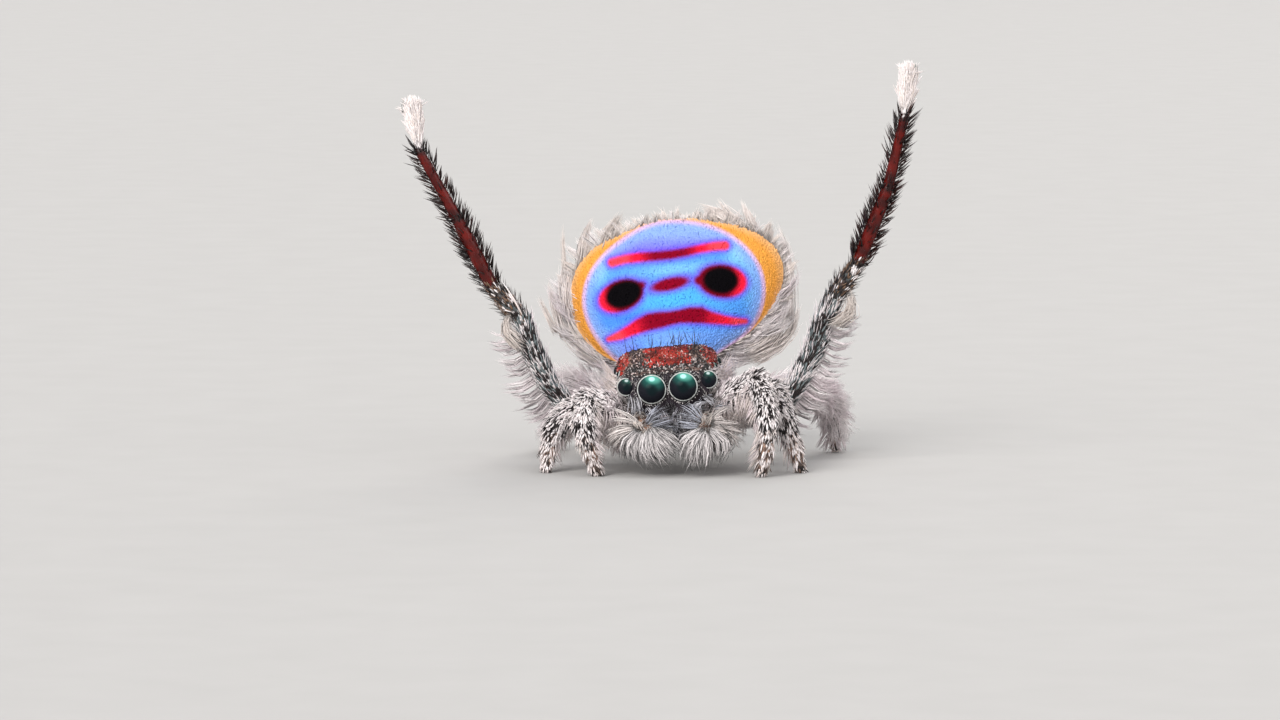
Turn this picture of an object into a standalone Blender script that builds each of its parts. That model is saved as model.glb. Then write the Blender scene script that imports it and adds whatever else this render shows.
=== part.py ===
"""A male peacock spider in its display stance, life size, standing on flat ground.

The spider looks along -Y, +X is its own left and +Z is up. The drawing is in millimetres, with
y = 0 in the plane of the front eyes and z = 0 at the soles of the feet. At the end every mesh is
scaled to metres and centred over the origin. Each solid reaches out to the tips of the hairs.
"""

import math

import bmesh
import bpy
from mathutils import Matrix, Vector

MM = 0.001
GAP = 0.02
SPLIT = GAP / 2
WELD = 1e-4
SHARP_ANGLE = math.radians(50.0)

# Head and thorax, from the eye line: heights of its top and bottom, and how square its rings are.
EYE_LINE = Vector((0.0, 0.0, 1.2))
HEAD_YAW = math.radians(-1.5)
HEAD_ROLL = math.radians(-5.4)
BODY_LENGTH = 2.1
BODY_FRONT = -0.08
BODY_HALF_WIDTH = 0.74
FACE_HALF_WIDTH = 0.6
FACE_TOP = 0.27
CROWN_RISE = 0.245
THORAX_DROP = 0.74
FACE_BOTTOM = -0.34
THROAT_DROP = 0.24
WAIST_RISE = 0.22
CROWN_POWER = 0.5
BELLY_POWER = 0.7
END_SHRINK = 0.86
BODY_SECTIONS = 13
BODY_SIDES = 20

# Each pair of eyes: where the left one sits in the head, its radius, and its segments and rings.
EYES = {
    "eye_front_middle": ((0.219, -0.03, 0.0), 0.205, (16, 9)),
    "eye_front_side": ((0.57, 0.07, 0.055), 0.125, (10, 6)),
    "eye_back_middle": ((0.66, 0.52, 0.19), 0.05, (10, 6)),
    "eye_back_side": ((0.65, 0.92, 0.2), 0.11, (10, 6)),
}

CHELICERA_PLACE = (0.19, 0.0, -0.5)
CHELICERA_HALF = Vector((0.18, 0.19, 0.3))
CHELICERA_FACETS = (12, 7)

# The feelers, from under the head forward and down to the lower edge of their hair.
PALP_PLACES = {
    "left": ((0.36, 0.06, 0.7), (0.46, -0.18, 0.76), (0.52, -0.4, 0.72), (0.51, -0.5, 0.54),
             (0.5, -0.5, 0.36), (0.49, -0.46, 0.12)),
    "right": ((-0.36, 0.06, 0.68), (-0.36, -0.18, 0.73), (-0.33, -0.4, 0.69), (-0.27, -0.5, 0.52),
              (-0.22, -0.5, 0.35), (-0.2, -0.46, 0.12)),
}
PALP_RADII = (0.2, 0.25, 0.3, 0.31, 0.31, 0.22)
PALP_BOTTOM = 0.06

FAN_CENTRE = Vector((0.05, 2.2, 2.43))
FAN_HALF_WIDTH = 1.79
FAN_HALF_HEIGHT = 1.19
FAN_THICKNESS = 0.5
FAN_ROLL = math.radians(-8.0)
FAN_SWEEP = 0.1
FAN_SIDES = 36
FAN_EDGE = 0.16
FAN_EDGE_STEPS = 2
FLAP_LINE = 0.72

ABDOMEN_CENTRE = Vector((0.1, 2.8, 2.1))
ABDOMEN_HALF = Vector((0.78, 0.6, 1.2))
ABDOMEN_LEAN = math.radians(-6.0)
ABDOMEN_FACETS = (20, 11)
WAIST_START = (0.0, 1.7, -0.25)
WAIST_END = Vector((0.12, 2.6, 1.35))
WAIST_RADIUS = 0.2
TAIL_START = Vector((0.02, 0.05, -0.25))
TAIL_END = Vector((0.02, 0.11, 0.14))
TAIL_RADII = (0.2, 0.12)

LEG_RADIUS = 0.235
SWELLING = 0.02
HIP_SHARE = 0.8
HIND_LEG_RADIUS = 0.26
TIP_RADIUS = 0.15
LONG_STEPS = 5
SHORT_STEPS = 3
SHORT_LENGTH = 0.5

# Joints of each leg, from the hip out: hip, knee, end of patella, end of tibia, end of metatarsus, tip.
LEG_JOINTS = {
    "leg_1_left": ((0.5, 0.42, 0.7), (1.24, -0.05, 1.28), (1.34, -0.38, 1.06), (1.39, -0.54, 0.66),
                   (1.35, -0.54, 0.34), (1.29, -0.48, 0.0)),
    "leg_1_right": ((-0.5, 0.42, 0.7), (-1.12, -0.05, 1.0), (-1.17, -0.32, 0.82), (-1.14, -0.48, 0.56),
                    (-1.07, -0.44, 0.32), (-0.96, -0.35, 0.0)),
    "leg_2_left": ((0.5, 0.88, 0.68), (1.48, 0.48, 1.08), (1.58, 0.22, 0.88), (1.68, 0.1, 0.58),
                   (1.78, 0.06, 0.32), (1.86, 0.06, 0.0)),
    "leg_2_right": ((-0.5, 0.88, 0.66), (-1.32, 0.56, 0.82), (-1.5, 0.34, 0.7), (-1.61, 0.18, 0.5),
                    (-1.66, 0.14, 0.3), (-1.68, 0.12, 0.0)),
    "leg_3_left": ((0.6, 1.32, 0.73), (2.31, 0.85, 2.34), (2.67, 0.8, 2.88), (3.08, 0.6, 3.95),
                   (3.29, 0.45, 4.92), (3.36, 0.4, 5.68)),
    "leg_3_right": ((-0.5, 1.32, 0.73), (-2.02, 0.6, 2.08), (-2.44, 0.6, 2.55), (-2.93, 0.55, 3.51),
                    (-3.45, 0.5, 4.45), (-3.57, 0.48, 5.19)),
    "leg_4_left": ((0.6, 1.76, 0.72), (2.12, 2.3, 0.94), (2.32, 2.56, 0.78), (2.39, 2.76, 0.52),
                   (2.41, 2.86, 0.3), (2.42, 2.9, 0.0)),
    "leg_4_right": ((-0.4, 1.76, 0.7), (-1.4, 2.44, 0.98), (-1.54, 2.78, 0.8), (-1.6, 3.02, 0.56),
                    (-1.62, 3.14, 0.3), (-1.62, 3.18, 0.0)),
}
LEG_PIECES = (("femur", 0, 1), ("tibia", 1, 3), ("metatarsus", 3, 4), ("tarsus", 4, 5))
# A raised leg leaves the body level and then bows upwards: places between its hip and its knee.
FEMUR_BOWS = {
    "leg_3_left": ((1.2, 1.26, 0.66), (1.58, 1.17, 0.82), (1.83, 1.1, 1.18), (2.06, 1.0, 1.64),
                   (2.18, 0.92, 2.02)),
    "leg_3_right": ((-1.0, 1.12, 0.64), (-1.28, 1.01, 0.74), (-1.51, 0.95, 0.98), (-1.7, 0.85, 1.25),
                    (-1.9, 0.68, 1.7)),
}
# The fringe hangs from the outer side of a raised femur, so its solid lies off the leg's own line:
# how far, and the radius there, at the hip, at each place of the bow and at the knee.
FRINGE_SHIFTS = (0.0, 0.02, 0.06, 0.12, 0.16, 0.16, 0.1)
FRINGED_RADII = (0.19, 0.24, 0.29, 0.34, 0.37, 0.35, 0.28)
# Lengths of other legs that a femur comes close to.
NEIGHBOURS = {
    "leg_2": (("leg_1", "femur", 0, 1),),
    "leg_3": (("leg_2", "femur", 0, 1), ("leg_2", "tibia", 1, 3), ("leg_4", "femur", 0, 1)),
}


def clear_scene():
    for old in list(bpy.data.objects):
        bpy.data.objects.remove(old, do_unlink=True)


def new_collection(name):
    made = bpy.data.collections.new(name)
    bpy.context.scene.collection.children.link(made)
    return made


def principled(name, colour, roughness, coat=0.0):
    made = bpy.data.materials.new(name)
    made.use_nodes = True
    shader = made.node_tree.nodes["Principled BSDF"]
    shader.inputs["Base Color"].default_value = (*colour, 1.0)
    shader.inputs["Roughness"].default_value = roughness
    shader.inputs["Metallic"].default_value = 0.0
    shader.inputs["Coat Weight"].default_value = coat
    made.diffuse_color = (*colour, 1.0)
    return made


def object_of(bm, name):
    """The object of a bmesh, with its normals out and its faces smooth."""
    bmesh.ops.remove_doubles(bm, verts=bm.verts, dist=WELD)
    bmesh.ops.recalc_face_normals(bm, faces=bm.faces)
    mesh = bpy.data.meshes.new(name)
    bm.to_mesh(mesh)
    bm.free()
    mesh.shade_smooth()
    mesh.set_sharp_from_angle(angle=SHARP_ANGLE)
    made = bpy.data.objects.new(name, mesh)
    bpy.context.scene.collection.objects.link(made)
    return made


def settled(made):
    """The same object with its modifiers applied, so that it is a plain mesh."""
    graph = bpy.context.evaluated_depsgraph_get()
    name = made.name
    mesh = bpy.data.meshes.new_from_object(made.evaluated_get(graph))
    mesh.transform(made.matrix_world)
    bpy.data.objects.remove(made, do_unlink=True)
    bm = bmesh.new()
    bm.from_mesh(mesh)
    bpy.data.meshes.remove(mesh)
    return object_of(bm, name)


def tube(name, points, radii):
    """A round bar with flat caps, along straight runs from point to point."""
    curve = bpy.data.curves.new(name, "CURVE")
    curve.dimensions = "3D"
    curve.bevel_depth = 1.0
    curve.bevel_resolution = 2
    curve.use_fill_caps = True
    spline = curve.splines.new("POLY")
    spline.points.add(len(points) - 1)
    for spot, place, radius in zip(spline.points, points, radii):
        spot.co = (*place, 1.0)
        spot.radius = radius
    made = bpy.data.objects.new(name, curve)
    bpy.context.scene.collection.objects.link(made)
    return settled(made)


def ball(name, centre, half, facets, turn=None):
    """An ellipsoid with its half sizes along its own axes, turned about its centre."""
    bm = bmesh.new()
    bmesh.ops.create_uvsphere(bm, u_segments=facets[0], v_segments=facets[1], radius=1.0)
    place = Matrix.Translation(centre) @ (turn or Matrix.Identity(4)) @ Matrix.Diagonal((*half, 1.0))
    bmesh.ops.transform(bm, matrix=place, verts=bm.verts)
    return object_of(bm, name)


def sliced(made, place, outward):
    """Cuts away what lies past a plane, and closes the cut."""
    bm = bmesh.new()
    bm.from_mesh(made.data)
    every = bm.verts[:] + bm.edges[:] + bm.faces[:]
    bmesh.ops.bisect_plane(bm, geom=every, dist=WELD, plane_co=place, plane_no=outward, clear_outer=True)
    bmesh.ops.holes_fill(bm, edges=[edge for edge in bm.edges if edge.is_boundary], sides=0)
    bm.to_mesh(made.data)
    bm.free()


def cut_by(made, *cutters):
    """Takes the cutters' shapes out of an object."""
    for cutter in cutters:
        cut = made.modifiers.new("clearance", "BOOLEAN")
        cut.operation = "DIFFERENCE"
        cut.solver = "EXACT"
        cut.object = cutter
    return settled(made)


def hidden(made, cutters):
    """Marks an object as a cutter."""
    for home in list(made.users_collection):
        home.objects.unlink(made)
    cutters.objects.link(made)
    made.hide_render = True
    made.display_type = "WIRE"
    return made


def head_matrix():
    turn = Matrix.Rotation(HEAD_YAW, 4, "Z") @ Matrix.Rotation(HEAD_ROLL, 4, "Y")
    return Matrix.Translation(EYE_LINE) @ turn


def in_head(x, y, z):
    return head_matrix() @ Vector((x, y, z))


def grown(half, grow):
    return half + Vector((grow, grow, grow))


def ramp(value, low, high):
    """Runs smoothly from 0 at low to 1 at high."""
    t = min(max((value - low) / (high - low), 0.0), 1.0)
    return t * t * (3.0 - 2.0 * t)


def body_width(y):
    """Half the width of head and thorax: square in front, widest past the middle, round behind."""
    behind = math.sqrt(max(1.0 - ramp(y, 1.2, 2.3) ** 2, 0.0))
    return (FACE_HALF_WIDTH + (BODY_HALF_WIDTH - FACE_HALF_WIDTH) * ramp(y, BODY_FRONT, 0.9)) * behind


def body_top(y):
    return FACE_TOP + CROWN_RISE * ramp(y, BODY_FRONT, 0.6) - THORAX_DROP * ramp(y, 0.85, 2.25)


def body_bottom(y):
    return FACE_BOTTOM - THROAT_DROP * ramp(y, BODY_FRONT, 0.6) + WAIST_RISE * ramp(y, 1.5, 2.2)


def body_solid(name, grow=0.0):
    """Head and thorax, lofted from front to back through rounded square rings."""
    bm = bmesh.new()
    rings = []
    for i in range(BODY_SECTIONS):
        # The rings crowd together towards both ends, where the outline turns in.
        along = 0.5 - 0.5 * math.cos(math.pi * i / (BODY_SECTIONS - 1))
        y = BODY_FRONT + BODY_LENGTH * along
        shrink = END_SHRINK if i in (0, BODY_SECTIONS - 1) else 1.0
        half_width = body_width(y) * shrink + grow
        top, bottom = body_top(y) + grow, body_bottom(y) - grow
        middle, half_height = (top + bottom) / 2, (top - bottom) / 2 * shrink
        # The crown is flat with square shoulders, and the thorax behind it is round.
        upper = CROWN_POWER + (BELLY_POWER - CROWN_POWER) * ramp(y, 0.9, 1.6)
        y += grow * (2 * along - 1)
        ring = []
        for k in range(BODY_SIDES):
            angle = 2 * math.pi * k / BODY_SIDES
            c, s = math.cos(angle), math.sin(angle)
            power = upper if s > 0 else BELLY_POWER
            x = half_width * math.copysign(abs(c) ** power, c)
            z = middle + half_height * math.copysign(abs(s) ** power, s)
            ring.append(bm.verts.new(in_head(x, y, z)))
        rings.append(ring)
    for near, far in zip(rings, rings[1:]):
        for k in range(BODY_SIDES):
            after = (k + 1) % BODY_SIDES
            bm.faces.new((near[k], near[after], far[after], far[k]))
    bm.faces.new(rings[0])
    bm.faces.new(rings[-1])
    return object_of(bm, name)


def fan_solid(name, grow=0.0):
    """The raised disc with its fringe: a round-edged plate whose sides sweep back a little."""
    bm = bmesh.new()
    bmesh.ops.create_cone(
        bm, cap_ends=True, segments=FAN_SIDES, radius1=1.0, radius2=1.0, depth=1.0
    )
    half_width, half_height = FAN_HALF_WIDTH + grow, FAN_HALF_HEIGHT + grow
    size = Matrix.Diagonal((half_width, half_height, FAN_THICKNESS + 2 * grow, 1.0))
    stand = Matrix.Rotation(math.radians(90.0), 4, "X")
    bmesh.ops.transform(bm, matrix=stand @ size, verts=bm.verts)
    made = object_of(bm, name)
    bevel = made.modifiers.new("round_edge", "BEVEL")
    bevel.width = FAN_EDGE
    bevel.segments = FAN_EDGE_STEPS
    made = settled(made)
    place = Matrix.Translation(FAN_CENTRE) @ Matrix.Rotation(FAN_ROLL, 4, "Y")
    for vertex in made.data.vertices:
        vertex.co.y += FAN_SWEEP * vertex.co.x ** 2
    made.data.transform(place)
    return made


def fan_pieces():
    """The disc parted into its middle plate and its two side flaps."""
    across = Matrix.Rotation(FAN_ROLL, 3, "Y") @ Vector((1.0, 0.0, 0.0))
    cuts = {
        "fan_plate": ((1, FLAP_LINE - SPLIT), (-1, FLAP_LINE - SPLIT)),
        "fan_flap_left": ((-1, -FLAP_LINE - SPLIT),),
        "fan_flap_right": ((1, -FLAP_LINE - SPLIT),),
    }
    made = []
    for name, planes in cuts.items():
        piece = fan_solid(name)
        for sign, reach in planes:
            sliced(piece, FAN_CENTRE + across * (sign * reach), across * sign)
        made.append(piece)
    return made


def abdomen_solid(name, grow=0.0):
    turn = Matrix.Rotation(FAN_ROLL / 2, 4, "Y") @ Matrix.Rotation(ABDOMEN_LEAN, 4, "X")
    return ball(name, ABDOMEN_CENTRE, grown(ABDOMEN_HALF, grow), ABDOMEN_FACETS, turn)


def chelicera_solid(name, sign, grow=0.0):
    """A jaw: a short upright egg under the front eyes."""
    turn = head_matrix().to_quaternion().to_matrix().to_4x4()
    x, y, z = CHELICERA_PLACE
    return ball(name, in_head(sign * x, y, z), grown(CHELICERA_HALF, grow), CHELICERA_FACETS, turn)


def palp_solid(side):
    """A feeler, thick with hair, down to just above the ground."""
    made = tube(f"palp_{side}", PALP_PLACES[side], PALP_RADII)
    sliced(made, Vector((0.0, 0.0, PALP_BOTTOM)), Vector((0.0, 0.0, -1.0)))
    return made


def swollen(t, base, middle):
    """The radius a share t of the way along a part that swells between its two ends."""
    return base + (middle - base) * math.sin(math.pi * t)


def leg_line(leg):
    """The places that a leg's line runs through, and which of them are its joints."""
    places = [Vector(place) for place in LEG_JOINTS[leg]]
    bow = [Vector(place) for place in FEMUR_BOWS.get(leg, ())]
    places[1:1] = bow
    joints = [0] + [i + len(bow) for i in range(1, len(LEG_JOINTS[leg]))]
    return places, joints


def joint_plane(places, at):
    """The direction that halves the bend at a joint: it faces out along the leg."""
    before = (places[at] - places[at - 1]).normalized()
    after = (places[at + 1] - places[at]).normalized()
    return (before + after).normalized()


def fringed_run(places, outer):
    """The line and radii of a raised femur with its fringe, which hangs on the side outer points to."""
    points = []
    for i, shift in enumerate(FRINGE_SHIFTS):
        ahead = (places[i + 1] - places[max(i - 1, 0)]).normalized()
        outward = Vector((0.0, outer, 0.0)).cross(ahead)
        points.append(places[i] + outward * shift)
    return points, list(FRINGED_RADII)


def straight_run(joints, radius):
    """The line and radii of a leg's length: each article swells a little between its joints."""
    points, radii = [joints[0]], [radius]
    for near, far in zip(joints, joints[1:]):
        steps = SHORT_STEPS if (far - near).length < SHORT_LENGTH else LONG_STEPS
        for i in range(1, steps):
            t = i / (steps - 1)
            points.append(near.lerp(far, t))
            radii.append(swollen(t, radius, radius + SWELLING))
    return points, radii


def leg_piece(leg, piece, first, last, grow=0.0):
    """One length of a leg: a tube run past its joints and cut at them, or left long where grown."""
    places, at = leg_line(leg)
    raised = leg in FEMUR_BOWS
    radius = HIND_LEG_RADIUS if leg.startswith("leg_4") else LEG_RADIUS
    if piece == "femur" and raised:
        points, radii = fringed_run(places, math.copysign(1.0, places[0].x))
    else:
        points, radii = straight_run([places[i] for i in at[first:last + 1]], radius)
        if piece == "femur":
            radii[0] = HIP_SHARE * radius
    if piece == "tarsus" and raised:
        radii[-1] = TIP_RADIUS
    reach = 1.6 * radius
    ends = len(at) - 1
    if first > 0:
        points.insert(0, points[0] + (points[0] - points[1]).normalized() * reach)
        radii.insert(0, radii[0])
    if last < ends or not raised:
        points.append(points[-1] + (points[-1] - points[-2]).normalized() * reach)
        radii.append(radii[-1])
    if grow:
        return tube(f"{leg}_{piece}_room", points, [wide + grow for wide in radii])
    made = tube(f"{leg}_{piece}", points, radii)
    if first > 0:
        along = joint_plane(places, at[first])
        sliced(made, places[at[first]] + along * SPLIT, -along)
    if last < ends:
        along = joint_plane(places, at[last])
        sliced(made, places[at[last]] - along * SPLIT, along)
    elif not raised:
        sliced(made, Vector((0.0, 0.0, 0.0)), Vector((0.0, 0.0, -1.0)))
    return made


def build():
    clear_scene()
    parts = new_collection("peacock_spider")
    cutters = new_collection("cutters")
    looks = {
        "hide": principled("body_hide", (0.22, 0.19, 0.17), 0.7),
        "eye": principled("eye_lens", (0.01, 0.05, 0.04), 0.08, 1.0),
        "disc": principled("fan_scales", (0.1, 0.3, 0.9), 0.45),
        "belly": principled("belly_hair", (0.6, 0.55, 0.48), 0.8),
        "pale": principled("pale_hair", (0.75, 0.7, 0.62), 0.8),
        "leg": principled("leg_scales", (0.4, 0.37, 0.33), 0.7),
        "raised": principled("raised_leg", (0.24, 0.05, 0.03), 0.4),
    }
    made = []

    def keep(piece, look):
        piece.data.materials.clear()
        piece.data.materials.append(looks[look])
        made.append(piece)

    body_room = hidden(body_solid("body_room", GAP), cutters)
    fan_room = hidden(fan_solid("fan_room", GAP), cutters)
    abdomen_room = hidden(abdomen_solid("abdomen_room", GAP), cutters)

    sockets = {}
    for kind, ((x, y, z), radius, facets) in EYES.items():
        for side, sign in (("left", 1), ("right", -1)):
            name = f"{kind}_{side}"
            size = Vector((radius, radius, radius))
            keep(ball(name, in_head(sign * x, y, z), size, facets), "eye")
            socket = ball(f"{name}_room", in_head(sign * x, y, z), grown(size, GAP), facets)
            sockets[name] = hidden(socket, cutters)
    keep(cut_by(body_solid("cephalothorax"), *sockets.values()), "hide")

    for side, sign in (("left", 1), ("right", -1)):
        eye_rooms = [sockets["eye_front_middle_left"], sockets["eye_front_middle_right"]]
        keep(cut_by(chelicera_solid(f"chelicera_{side}", sign), body_room, *eye_rooms), "hide")
        jaw_room = hidden(chelicera_solid(f"chelicera_{side}_room", sign, GAP), cutters)
        keep(cut_by(palp_solid(side), body_room, jaw_room), "pale")

    for piece in fan_pieces():
        keep(piece, "disc")
    keep(cut_by(abdomen_solid("abdomen"), fan_room), "belly")

    waist = tube("pedicel", (in_head(*WAIST_START), WAIST_END), (WAIST_RADIUS, WAIST_RADIUS))
    keep(cut_by(waist, body_room, abdomen_room, fan_room), "hide")
    top = ABDOMEN_CENTRE + Vector((0.0, 0.0, ABDOMEN_HALF.z))
    tail = tube("spinnerets", (top + TAIL_START, top + TAIL_END), TAIL_RADII)
    keep(cut_by(tail, abdomen_room, fan_room), "belly")

    for leg in LEG_JOINTS:
        for piece, first, last in LEG_PIECES:
            shape = leg_piece(leg, piece, first, last)
            if piece == "femur":
                rooms = [body_room]
                pair, side = leg.rsplit("_", 1)
                for near, length, start, end in NEIGHBOURS.get(pair, ()):
                    room = leg_piece(f"{near}_{side}", length, start, end, GAP)
                    rooms.append(hidden(room, cutters))
                shape = cut_by(shape, *rooms)
            keep(shape, "raised" if leg in FEMUR_BOWS and piece != "femur" else "leg")

    corners = [vertex.co for piece in made for vertex in piece.data.vertices]
    low = [min(corner[i] for corner in corners) for i in range(3)]
    high = [max(corner[i] for corner in corners) for i in range(3)]
    centre = Vector(((low[0] + high[0]) / 2, (low[1] + high[1]) / 2, low[2]))
    to_metres = Matrix.Scale(MM, 4) @ Matrix.Translation(-centre)
    for piece in made + list(cutters.objects):
        piece.data.transform(to_metres)
    for piece in made:
        bpy.context.scene.collection.objects.unlink(piece)
        parts.objects.link(piece)


build()
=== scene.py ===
import math
from collections import namedtuple

import bmesh
import bpy
import numpy as np
from mathutils import Matrix, Vector, kdtree


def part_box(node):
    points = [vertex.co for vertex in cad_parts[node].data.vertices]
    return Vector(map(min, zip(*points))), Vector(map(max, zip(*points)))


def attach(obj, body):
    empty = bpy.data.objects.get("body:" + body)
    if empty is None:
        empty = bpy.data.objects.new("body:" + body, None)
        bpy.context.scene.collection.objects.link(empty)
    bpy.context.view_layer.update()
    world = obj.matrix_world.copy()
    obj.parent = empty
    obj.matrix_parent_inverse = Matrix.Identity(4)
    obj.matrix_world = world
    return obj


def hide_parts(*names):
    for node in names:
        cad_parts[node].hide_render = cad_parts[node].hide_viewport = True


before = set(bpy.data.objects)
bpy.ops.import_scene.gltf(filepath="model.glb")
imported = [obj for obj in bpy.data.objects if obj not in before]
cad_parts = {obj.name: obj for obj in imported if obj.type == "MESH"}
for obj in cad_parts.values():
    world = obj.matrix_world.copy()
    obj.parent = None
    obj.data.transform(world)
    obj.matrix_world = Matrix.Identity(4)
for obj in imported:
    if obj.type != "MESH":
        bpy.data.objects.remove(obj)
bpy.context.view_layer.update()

# The drawing is in millimetres, as the solids were drawn: y = 0 in the plane of the front
# eyes, z = 0 on the floor, and the spider looks along -Y.
MM = 0.001
EYE_LINE = (0.0, 0.0, 1.2)
HEAD_YAW = math.radians(-1.5)
HEAD_ROLL = math.radians(-5.4)
FRONT_EYE = (0.219, -0.03, 0.0)
SIDES = (("left", 1.0), ("right", -1.0))

# How far the head's skin lies inside its solid, and a strand's root inside the skin.
COAT_DEPTH = 0.03
ROOT_DEPTH = 0.01
# The lowest that the skin and the coat reach.
SOLE_HEIGHT = 0.004
COAT_HEIGHT = 0.003
# The size of the skin's faces, and the share of the strands that is made.
VOXEL = 0.027
THINNING = 1.0
# How wide a strand's patch of the map is.
PATCH = 0.003

rng = np.random.default_rng(7)


# Frames and small vector helpers

def head_matrix():
    turn = Matrix.Rotation(HEAD_YAW, 4, "Z") @ Matrix.Rotation(HEAD_ROLL, 4, "Y")
    return np.array(Matrix.Translation(EYE_LINE) @ turn)


HEAD = head_matrix()


def in_head(points):
    """Points of the head's own frame, in the drawing."""
    return np.asarray(points, float) @ HEAD[:3, :3].T + HEAD[:3, 3]


def to_head(points):
    return (np.asarray(points, float) - HEAD[:3, 3]) @ HEAD[:3, :3]


def drawing_origin():
    """The drawing's origin in the solids' frame, from a front eye that is in both."""
    low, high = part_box("eye_front_middle_left")
    return np.array(low + high) / 2 - in_head(FRONT_EYE) * MM


ORIGIN = drawing_origin()


def to_metres(points):
    return np.asarray(points, float) * MM + ORIGIN


def unit(vectors):
    length = np.linalg.norm(vectors, axis=-1, keepdims=True)
    return vectors / np.maximum(length, 1e-9)


def ramp(value, low, high):
    """Runs smoothly from 0 at low to 1 at high."""
    t = np.clip((value - low) / (high - low), 0.0, 1.0)
    return t * t * (3.0 - 2.0 * t)


def bump(value, middle, width):
    return np.exp(-((value - middle) / width) ** 2)


def linear(*colour):
    """A colour given as it looks on screen, 0 to 255, as the linear light that shaders take."""
    c = np.array(colour) / 255.0
    return np.where(c <= 0.04045, c / 12.92, ((c + 0.055) / 1.055) ** 2.4)


def mix(a, b, share):
    share = np.asarray(share, float)[..., None]
    return a * (1.0 - share) + b * share


def choose(test, a, b):
    return np.where(np.asarray(test)[..., None], a, b)


def level(vectors, normal):
    """Turns vectors into the plane square to normal."""
    return unit(vectors - (vectors * normal).sum(axis=1, keepdims=True) * normal)


# Colours of the hide and coat, as they look on screen

WHITE_HAIR = linear(255, 247, 247)
CREAM_HAIR = linear(250, 237, 229)
LILAC_HAIR = linear(236, 221, 225)
GREY_HAIR = linear(160, 154, 152)
DARK_HAIR = linear(46, 40, 40)
BLACK_HAIR = linear(18, 13, 13)
ROSY_HAIR = linear(222, 204, 194)
BLUE_GREY = linear(208, 210, 224)
TEAL_GREY = linear(118, 128, 130)
HIDE = linear(58, 48, 46)
FACE_HIDE = linear(36, 28, 36)
CROWN_RED = linear(190, 24, 20)
CROWN_BRICK = linear(150, 62, 44)
CROWN_BROWN = linear(132, 108, 98)
CROWN_DARK = linear(62, 46, 46)
# Pink specks on the red crown scales are painted highlights.
CROWN_PAINTED_GLINT = linear(190, 108, 102)
CROWN_PALE = linear(206, 184, 180)
TAN = linear(184, 150, 132)
RED_BROWN = linear(96, 14, 7)
DEEP_RED = linear(56, 7, 5)
BRISTLE_BROWN = linear(60, 24, 18)
FEMUR_BROWN = linear(70, 48, 42)
KNEE_BROWN = linear(124, 98, 80)
PALP_BROWN = linear(160, 124, 106)
BELLY_BROWN = linear(92, 78, 68)
BRUSH_GREY = linear(168, 172, 170)

SKY = linear(88, 158, 255)
DEEP_SKY = linear(72, 134, 255)
CYAN = linear(84, 190, 255)
PALE_CYAN = linear(150, 222, 255)
PERIWINKLE = linear(136, 132, 255)
PALE_BLUE = linear(150, 186, 255)
VIOLET = linear(120, 60, 250)
CRIMSON = linear(140, 0, 34)
SCARLET = linear(255, 32, 62)
CORAL = linear(255, 84, 96)
INK = linear(3, 1, 4)
RIM_PINK = linear(248, 200, 236)
ORANGE = linear(255, 174, 76)
PEACH = linear(255, 204, 150)


# The legs: hip, knee, end of patella, end of tibia, end of metatarsus, tip

LEG_JOINTS = {
    "leg_1_left": ((0.5, 0.42, 0.7), (1.24, -0.05, 1.28), (1.34, -0.38, 1.06), (1.39, -0.54, 0.66),
                   (1.35, -0.54, 0.34), (1.29, -0.48, 0.0)),
    "leg_1_right": ((-0.5, 0.42, 0.7), (-1.12, -0.05, 1.0), (-1.17, -0.32, 0.82), (-1.14, -0.48, 0.56),
                    (-1.07, -0.44, 0.32), (-0.96, -0.35, 0.0)),
    "leg_2_left": ((0.5, 0.88, 0.68), (1.48, 0.48, 1.08), (1.58, 0.22, 0.88), (1.68, 0.1, 0.58),
                   (1.78, 0.06, 0.32), (1.86, 0.06, 0.0)),
    "leg_2_right": ((-0.5, 0.88, 0.66), (-1.32, 0.56, 0.82), (-1.5, 0.34, 0.7), (-1.61, 0.18, 0.5),
                    (-1.66, 0.14, 0.3), (-1.68, 0.12, 0.0)),
    "leg_3_left": ((0.6, 1.32, 0.73), (2.31, 0.85, 2.34), (2.67, 0.8, 2.88), (3.08, 0.6, 3.95),
                   (3.29, 0.45, 4.92), (3.36, 0.4, 5.68)),
    "leg_3_right": ((-0.5, 1.32, 0.73), (-2.02, 0.6, 2.08), (-2.44, 0.6, 2.55), (-2.93, 0.55, 3.51),
                    (-3.45, 0.5, 4.45), (-3.57, 0.48, 5.19)),
    "leg_4_left": ((0.6, 1.76, 0.72), (2.12, 2.3, 0.94), (2.32, 2.56, 0.78), (2.39, 2.76, 0.52),
                   (2.41, 2.86, 0.3), (2.42, 2.9, 0.0)),
    "leg_4_right": ((-0.4, 1.76, 0.7), (-1.4, 2.44, 0.98), (-1.54, 2.78, 0.8), (-1.6, 3.02, 0.56),
                    (-1.62, 3.14, 0.3), (-1.62, 3.18, 0.0)),
}
# The raised legs leave the body level and then bow upwards: places between hip and knee.
FEMUR_BOWS = {
    "leg_3_left": ((1.2, 1.26, 0.66), (1.58, 1.17, 0.82), (1.83, 1.1, 1.18), (2.06, 1.0, 1.64),
                   (2.18, 0.92, 2.02)),
    "leg_3_right": ((-1.0, 1.12, 0.64), (-1.28, 1.01, 0.74), (-1.51, 0.95, 0.98), (-1.7, 0.85, 1.25),
                    (-1.9, 0.68, 1.7)),
}
ARTICLES = ("femur", "patella", "tibia", "metatarsus", "tarsus")
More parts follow.
